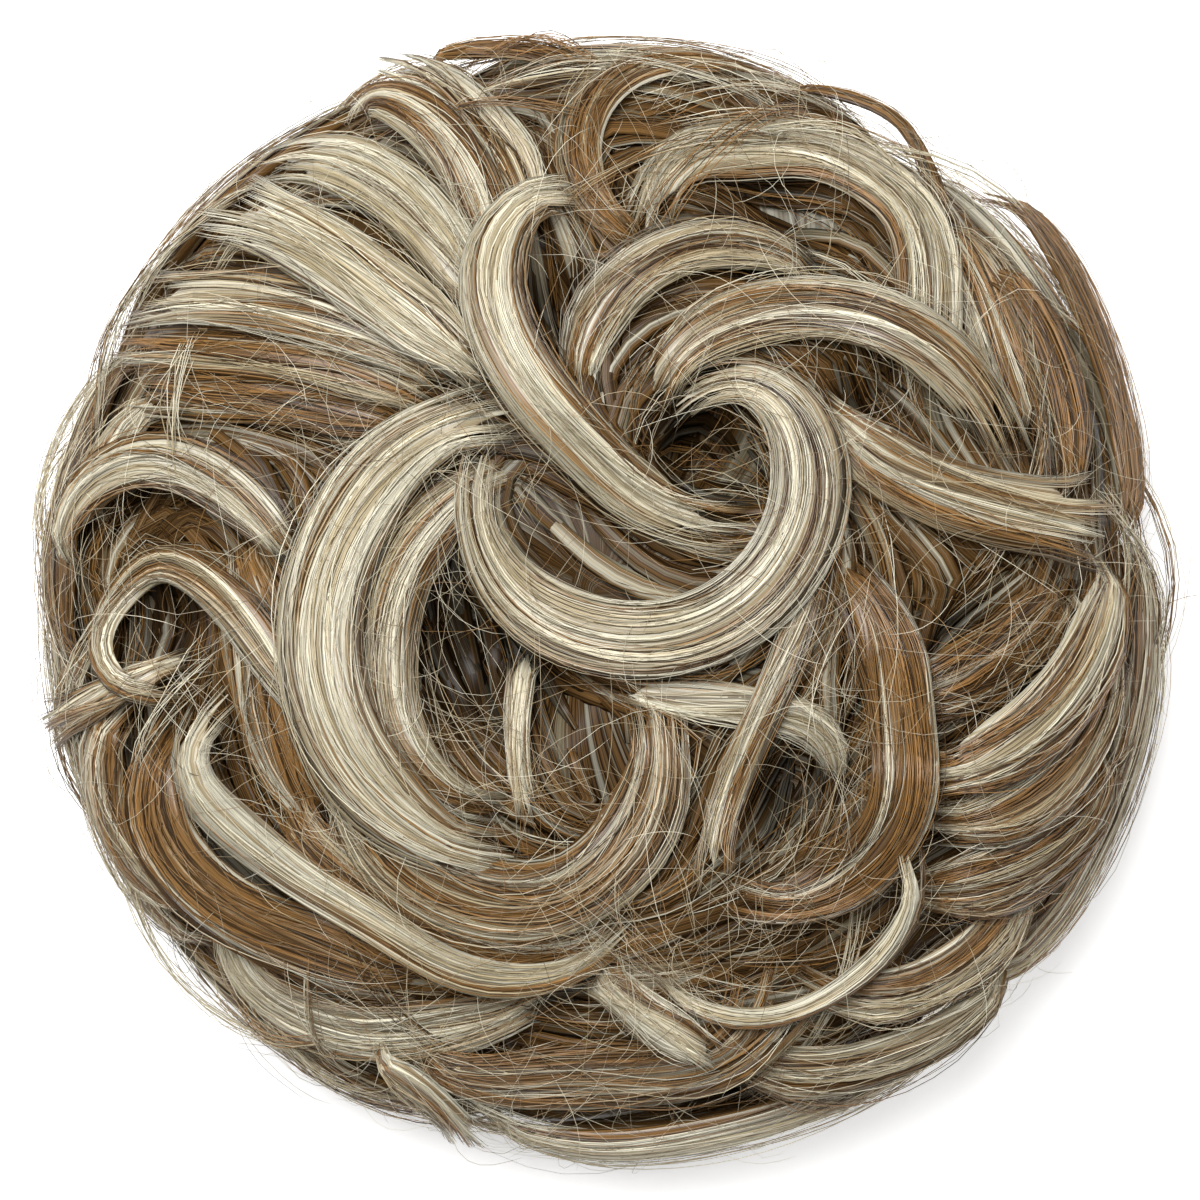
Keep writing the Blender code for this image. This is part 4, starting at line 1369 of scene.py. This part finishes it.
def add_elastic(settings):
    """The covered elastic: a ring whose cover is gathered into small folds."""
    bm = bmesh.new()
    made = bmesh.ops.create_circle(bm, segments=ELASTIC_SIDES, radius=BAND_THICKNESS / 2)["verts"]
    bmesh.ops.rotate(bm, verts=made, cent=(0, 0, 0), matrix=Matrix.Rotation(math.pi / 2, 3, "X"))
    bmesh.ops.translate(bm, verts=made, vec=(BAND_RADIUS, 0.0, BAND_FOOT + BAND_THICKNESS / 2))
    bmesh.ops.spin(
        bm,
        geom=[*bm.verts, *bm.edges],
        axis=(0, 0, 1),
        cent=(0, 0, 0),
        angle=2.0 * math.pi,
        steps=ELASTIC_STEPS,
        use_merge=True,
    )
    bmesh.ops.remove_doubles(bm, verts=bm.verts, dist=JOIN_DISTANCE)
    middle_height = BAND_FOOT + BAND_THICKNESS / 2
    for vert in bm.verts:
        turn = math.atan2(vert.co.y, vert.co.x)
        ring = np.array([math.cos(turn) * BAND_RADIUS, math.sin(turn) * BAND_RADIUS, middle_height])
        out = np.array(vert.co) - ring
        gather = 1.0 - GATHER + GATHER * math.cos(FOLDS * turn + 0.9 * math.sin(5.0 * turn))
        vert.co = ring + out * gather
    layer = bm.loops.layers.uv.new(MAP_NAME)
    for face in bm.faces:
        middle = face.calc_center_median()
        turn = math.atan2(middle.y, middle.x)
        for loop in face.loops:
            corner = math.atan2(loop.vert.co.y, loop.vert.co.x)
            corner += 2.0 * math.pi * round((turn - corner) / (2.0 * math.pi))
            radial = math.hypot(loop.vert.co.x, loop.vert.co.y) - BAND_RADIUS
            roll = math.atan2(loop.vert.co.z - middle_height, radial)
            face_roll = math.atan2(middle.z - middle_height, math.hypot(middle.x, middle.y) - BAND_RADIUS)
            roll += 2.0 * math.pi * round((face_roll - roll) / (2.0 * math.pi))
            loop[layer].uv = (0.5 + corner / (2.0 * math.pi) * 0.98, 0.5 + roll / (2.0 * math.pi) * 0.98)
    return add_object("covered_elastic", bm, elastic_material(settings))


def add_area_light(name, place, size, power):
    """A round soft light that looks at the hairpiece."""
    data = bpy.data.lights.new(name, "AREA")
    data.shape = "DISK"
    data.size = size
    data.energy = power
    lamp = bpy.data.objects.new(name, data)
    lamp.location = place
    lamp.rotation_euler = (Vector(LIGHT_AIM) - Vector(place)).to_track_quat("-Z", "Y").to_euler()
    bpy.context.scene.collection.objects.link(lamp)


# The add-on


class HairpieceSettings(bpy.types.PropertyGroup):
    """Sizes and colours of the hairpiece's fibre."""

    fibres_per_mm: FloatProperty(
        name="Fibres per millimetre",
        description="Fibres for each millimetre of a lock's width",
        default=9.6,
        min=1.0,
    )
    wisps_per_mm: FloatProperty(
        name="Wisps per millimetre",
        description="Wisps for each millimetre of a lock's width",
        default=0.85,
        min=0.1,
    )
    fibre_radius: FloatProperty(
        name="Fibre radius",
        description="Half the thickness of a lock's fibre",
        default=0.00014,
        unit="LENGTH",
    )
    stray_share: FloatProperty(
        name="Strays",
        description="Share of fibres that wander off their lock",
        default=0.20,
        min=0.0,
        max=1.0,
    )
    dive: FloatProperty(
        name="Dive",
        description="How far a lock's hidden end goes in among the hair",
        default=0.0034,
        unit="LENGTH",
    )
    loose_hairs: IntProperty(
        name="Loose hairs",
        description="Hairs that stand off the locks",
        default=2600,
        min=1,
    )
    loose_radius: FloatProperty(
        name="Loose hair radius",
        description="Half the thickness of a loose hair",
        default=0.000032,
        unit="LENGTH",
    )
    tufts: IntProperty(
        name="Tufts",
        description="Tufts of hair on the top between the locks",
        default=150,
        min=2,
    )
    wisps: IntProperty(name="Wisps", description="Flat wisps laid over the dome", default=810, min=1)
    wisp_width: FloatProperty(
        name="Wisp width", description="Width of a flat wisp", default=0.0027, unit="LENGTH"
    )
    dent_tufts: IntProperty(
        name="Tufts in a dent",
        description="Tufts of hair in each dent",
        default=14,
        min=1,
    )
    tuft_fibres: IntProperty(name="Fibres in a tuft", description="Fibres in each tuft", default=5, min=1)
    rim_hairs: IntProperty(
        name="Rim hairs",
        description="Single hairs that leave the rim",
        default=600,
        min=1,
    )
    rim_wisps: IntProperty(
        name="Rim wisps",
        description="Thin wisps that loosen the outline",
        default=60,
        min=1,
    )
    comb_radius: FloatProperty(
        name="Tuft fibre radius",
        description="Half the thickness of a tuft's fibre",
        default=0.00007,
        unit="LENGTH",
    )
    weft_fibres: IntProperty(name="Weft fibres", description="Fibres of the underside", default=420, min=1)
    seed: IntProperty(name="Seed", description="Seed of every random choice", default=11)
    pale_colour: FloatVectorProperty(
        name="Pale",
        description="Colour of the pale fibre",
        subtype="COLOR",
        default=(0.78, 0.73, 0.57),
        max=1.0,
    )
    ash_colour: FloatVectorProperty(
        name="Ash",
        description="Colour of the ash fibre",
        subtype="COLOR",
        default=(0.45, 0.37, 0.225),
        max=1.0,
    )
    warm_colour: FloatVectorProperty(
        name="Warm",
        description="Colour of the warm brown fibre",
        subtype="COLOR",
        default=(0.29, 0.152, 0.048),
        max=1.0,
    )
    deep_colour: FloatVectorProperty(
        name="Deep",
        description="Colour of the darkest fibre",
        subtype="COLOR",
        default=(0.065, 0.032, 0.010),
        max=1.0,
    )
    band_colour: FloatVectorProperty(
        name="Elastic",
        description="Colour of the elastic's cover",
        subtype="COLOR",
        default=(0.055, 0.036, 0.023),
        max=1.0,
    )


class HAIRPIECE_OT_under_hair(bpy.types.Operator):
    """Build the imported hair, the hair combed over it and the sewn hair of the underside"""

    bl_idname = "hairpiece.under_hair"
    bl_label = "Under Hair"

    def execute(self, context):
        settings = context.scene.hairpiece
        rng = np.random.default_rng(settings.seed)
        packed = add_packed_hair(settings)
        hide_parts("under_hair")
        seeds = {
            "combed_top": dome_seeds(settings.tufts, 0.0, COMB_SLOPES[0], rng),
            "combed_rim": dome_seeds(settings.tufts, *COMB_SLOPES[:2], rng),
            "combed_side": dome_seeds(settings.tufts // 2, *COMB_SLOPES[1:], rng),
            "combed_dents": dent_seeds(settings.dent_tufts, rng),
        }
        sets = {name: [combed_fibres(places, settings, rng)] for name, places in seeds.items()}
        sets["packed_wisps"] = [
            combed_wisps(dome_seeds(settings.wisps, 0.0, COMB_SLOPES[-1], rng), settings, rng),
            combed_wisps(dent_seeds(settings.dent_tufts, rng), settings, rng),
        ]
        sets["sewn_weft"] = [weft_fibres(settings, rng)]
        material = fibre_material("under", settings)
        pieces = [mesh_of_tubes(name, tubes, material) for name, tubes in sets.items()]
        for piece in (packed, *pieces):
            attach(piece, "root")
        return {"FINISHED"}


class HAIRPIECE_OT_elastic_band(bpy.types.Operator):
    """Build the covered elastic band"""

    bl_idname = "hairpiece.elastic_band"
    bl_label = "Elastic Band"

    def execute(self, context):
        band = add_elastic(context.scene.hairpiece)
        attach(band, "root")
        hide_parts("elastic_band")
        return {"FINISHED"}


class HAIRPIECE_OT_side_locks(bpy.types.Operator):
    """Build the locks round the side"""

    bl_idname = "hairpiece.side_locks"
    bl_label = "Side Locks"

    def execute(self, context):
        for number in range(SIDE_LOCKS):
            add_lock_piece(PILE[number], context.scene.hairpiece, number)
        return {"FINISHED"}


class HAIRPIECE_OT_locks(bpy.types.Operator):
    """Build the locks of the table, from the rim to the crown"""

    bl_idname = "hairpiece.locks"
    bl_label = "Locks"

    def execute(self, context):
        for number in range(SIDE_LOCKS, len(PILE)):
            add_lock_piece(PILE[number], context.scene.hairpiece, number)
        return {"FINISHED"}


class HAIRPIECE_OT_loose_hairs(bpy.types.Operator):
    """Build the loose hairs that stand off the locks"""

    bl_idname = "hairpiece.loose_hairs"
    bl_label = "Loose Hairs"

    def execute(self, context):
        settings = context.scene.hairpiece
        rng = np.random.default_rng(settings.seed + 1)
        sets = {
            "loose_hairs": [
                loose_fibres(*loose_roots(settings.loose_hairs, rng), LOOSE_REACH, settings, rng),
            ],
            "rim_hairs": [
                loose_fibres(*rim_roots(settings.rim_hairs, rng), RIM_REACH, settings, rng),
                rim_fibres(settings, rng),
            ],
        }
        for name, tubes in sets.items():
            piece = mesh_of_tubes(name, tubes, fibre_material("loose", settings))
            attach(piece, "root")
        return {"FINISHED"}


class HAIRPIECE_OT_stage(bpy.types.Operator):
    """Set up the pale floor, the soft studio lights and the camera straight above"""

    bl_idname = "hairpiece.stage"
    bl_label = "Stage"

    def execute(self, context):
        scene = context.scene
        bm = bmesh.new()
        bmesh.ops.create_grid(bm, x_segments=1, y_segments=1, size=FLOOR_SIZE / 2)
        bmesh.ops.translate(bm, verts=bm.verts, vec=(0.0, 0.0, -FLOOR_DROP))
        mesh = bpy.data.meshes.new("floor")
        bm.to_mesh(mesh)
        bm.free()
        floor = place_object("floor", mesh, floor_material())
        world = bpy.data.worlds.new("studio")
        world.use_nodes = True
        backdrop = world.node_tree.nodes["Background"]
        backdrop.inputs["Color"].default_value = (1.0, 1.0, 1.0, 1.0)
        backdrop.inputs["Strength"].default_value = WORLD_STRENGTH
        scene.world = world
        add_area_light("overhead_light", OVERHEAD_PLACE, OVERHEAD_SIZE, OVERHEAD_WATTS)
        add_area_light("side_light", SIDE_PLACE, SIDE_SIZE, SIDE_WATTS)
        data = bpy.data.cameras.new("photo_camera")
        data.sensor_width = SENSOR * MM_PER_M
        data.lens = SENSOR * MM_PER_M * (EYE_HEIGHT - RIM_HEIGHT) / PHOTO_SPAN
        camera = bpy.data.objects.new("photo_camera", data)
        camera.location = (-BUN_SHIFT[0], -BUN_SHIFT[1], EYE_HEIGHT)
        scene.collection.objects.link(camera)
        scene.camera = camera
        scene.view_settings.view_transform = "Standard"
        return {"FINISHED"}


class HAIRPIECE_PT_panel(bpy.types.Panel):
    """Lists the hairpiece's pieces"""

    bl_idname = "HAIRPIECE_PT_panel"
    bl_label = "Hairpiece"
    bl_space_type = "VIEW_3D"
    bl_region_type = "UI"
    bl_category = "Hairpiece"

    def draw(self, context):
        for name in HairpieceSettings.__annotations__:
            self.layout.prop(context.scene.hairpiece, name)
        for operator in OPERATORS:
            self.layout.operator(operator.bl_idname)


OPERATORS = (
    HAIRPIECE_OT_stage,
    HAIRPIECE_OT_under_hair,
    HAIRPIECE_OT_elastic_band,
    HAIRPIECE_OT_side_locks,
    HAIRPIECE_OT_locks,
    HAIRPIECE_OT_loose_hairs,
)
CLASSES = (HairpieceSettings, *OPERATORS, HAIRPIECE_PT_panel)


def register():
    for one in CLASSES:
        bpy.utils.register_class(one)
    bpy.types.Scene.hairpiece = PointerProperty(type=HairpieceSettings)


def unregister():
    del bpy.types.Scene.hairpiece
    for one in reversed(CLASSES):
        bpy.utils.unregister_class(one)


def main():
    register()
    bpy.ops.hairpiece.stage()
    bpy.ops.hairpiece.under_hair()
    bpy.ops.hairpiece.elastic_band()
    bpy.ops.hairpiece.side_locks()
    bpy.ops.hairpiece.locks()
    bpy.ops.hairpiece.loose_hairs()


if __name__ == "__main__":
    main()
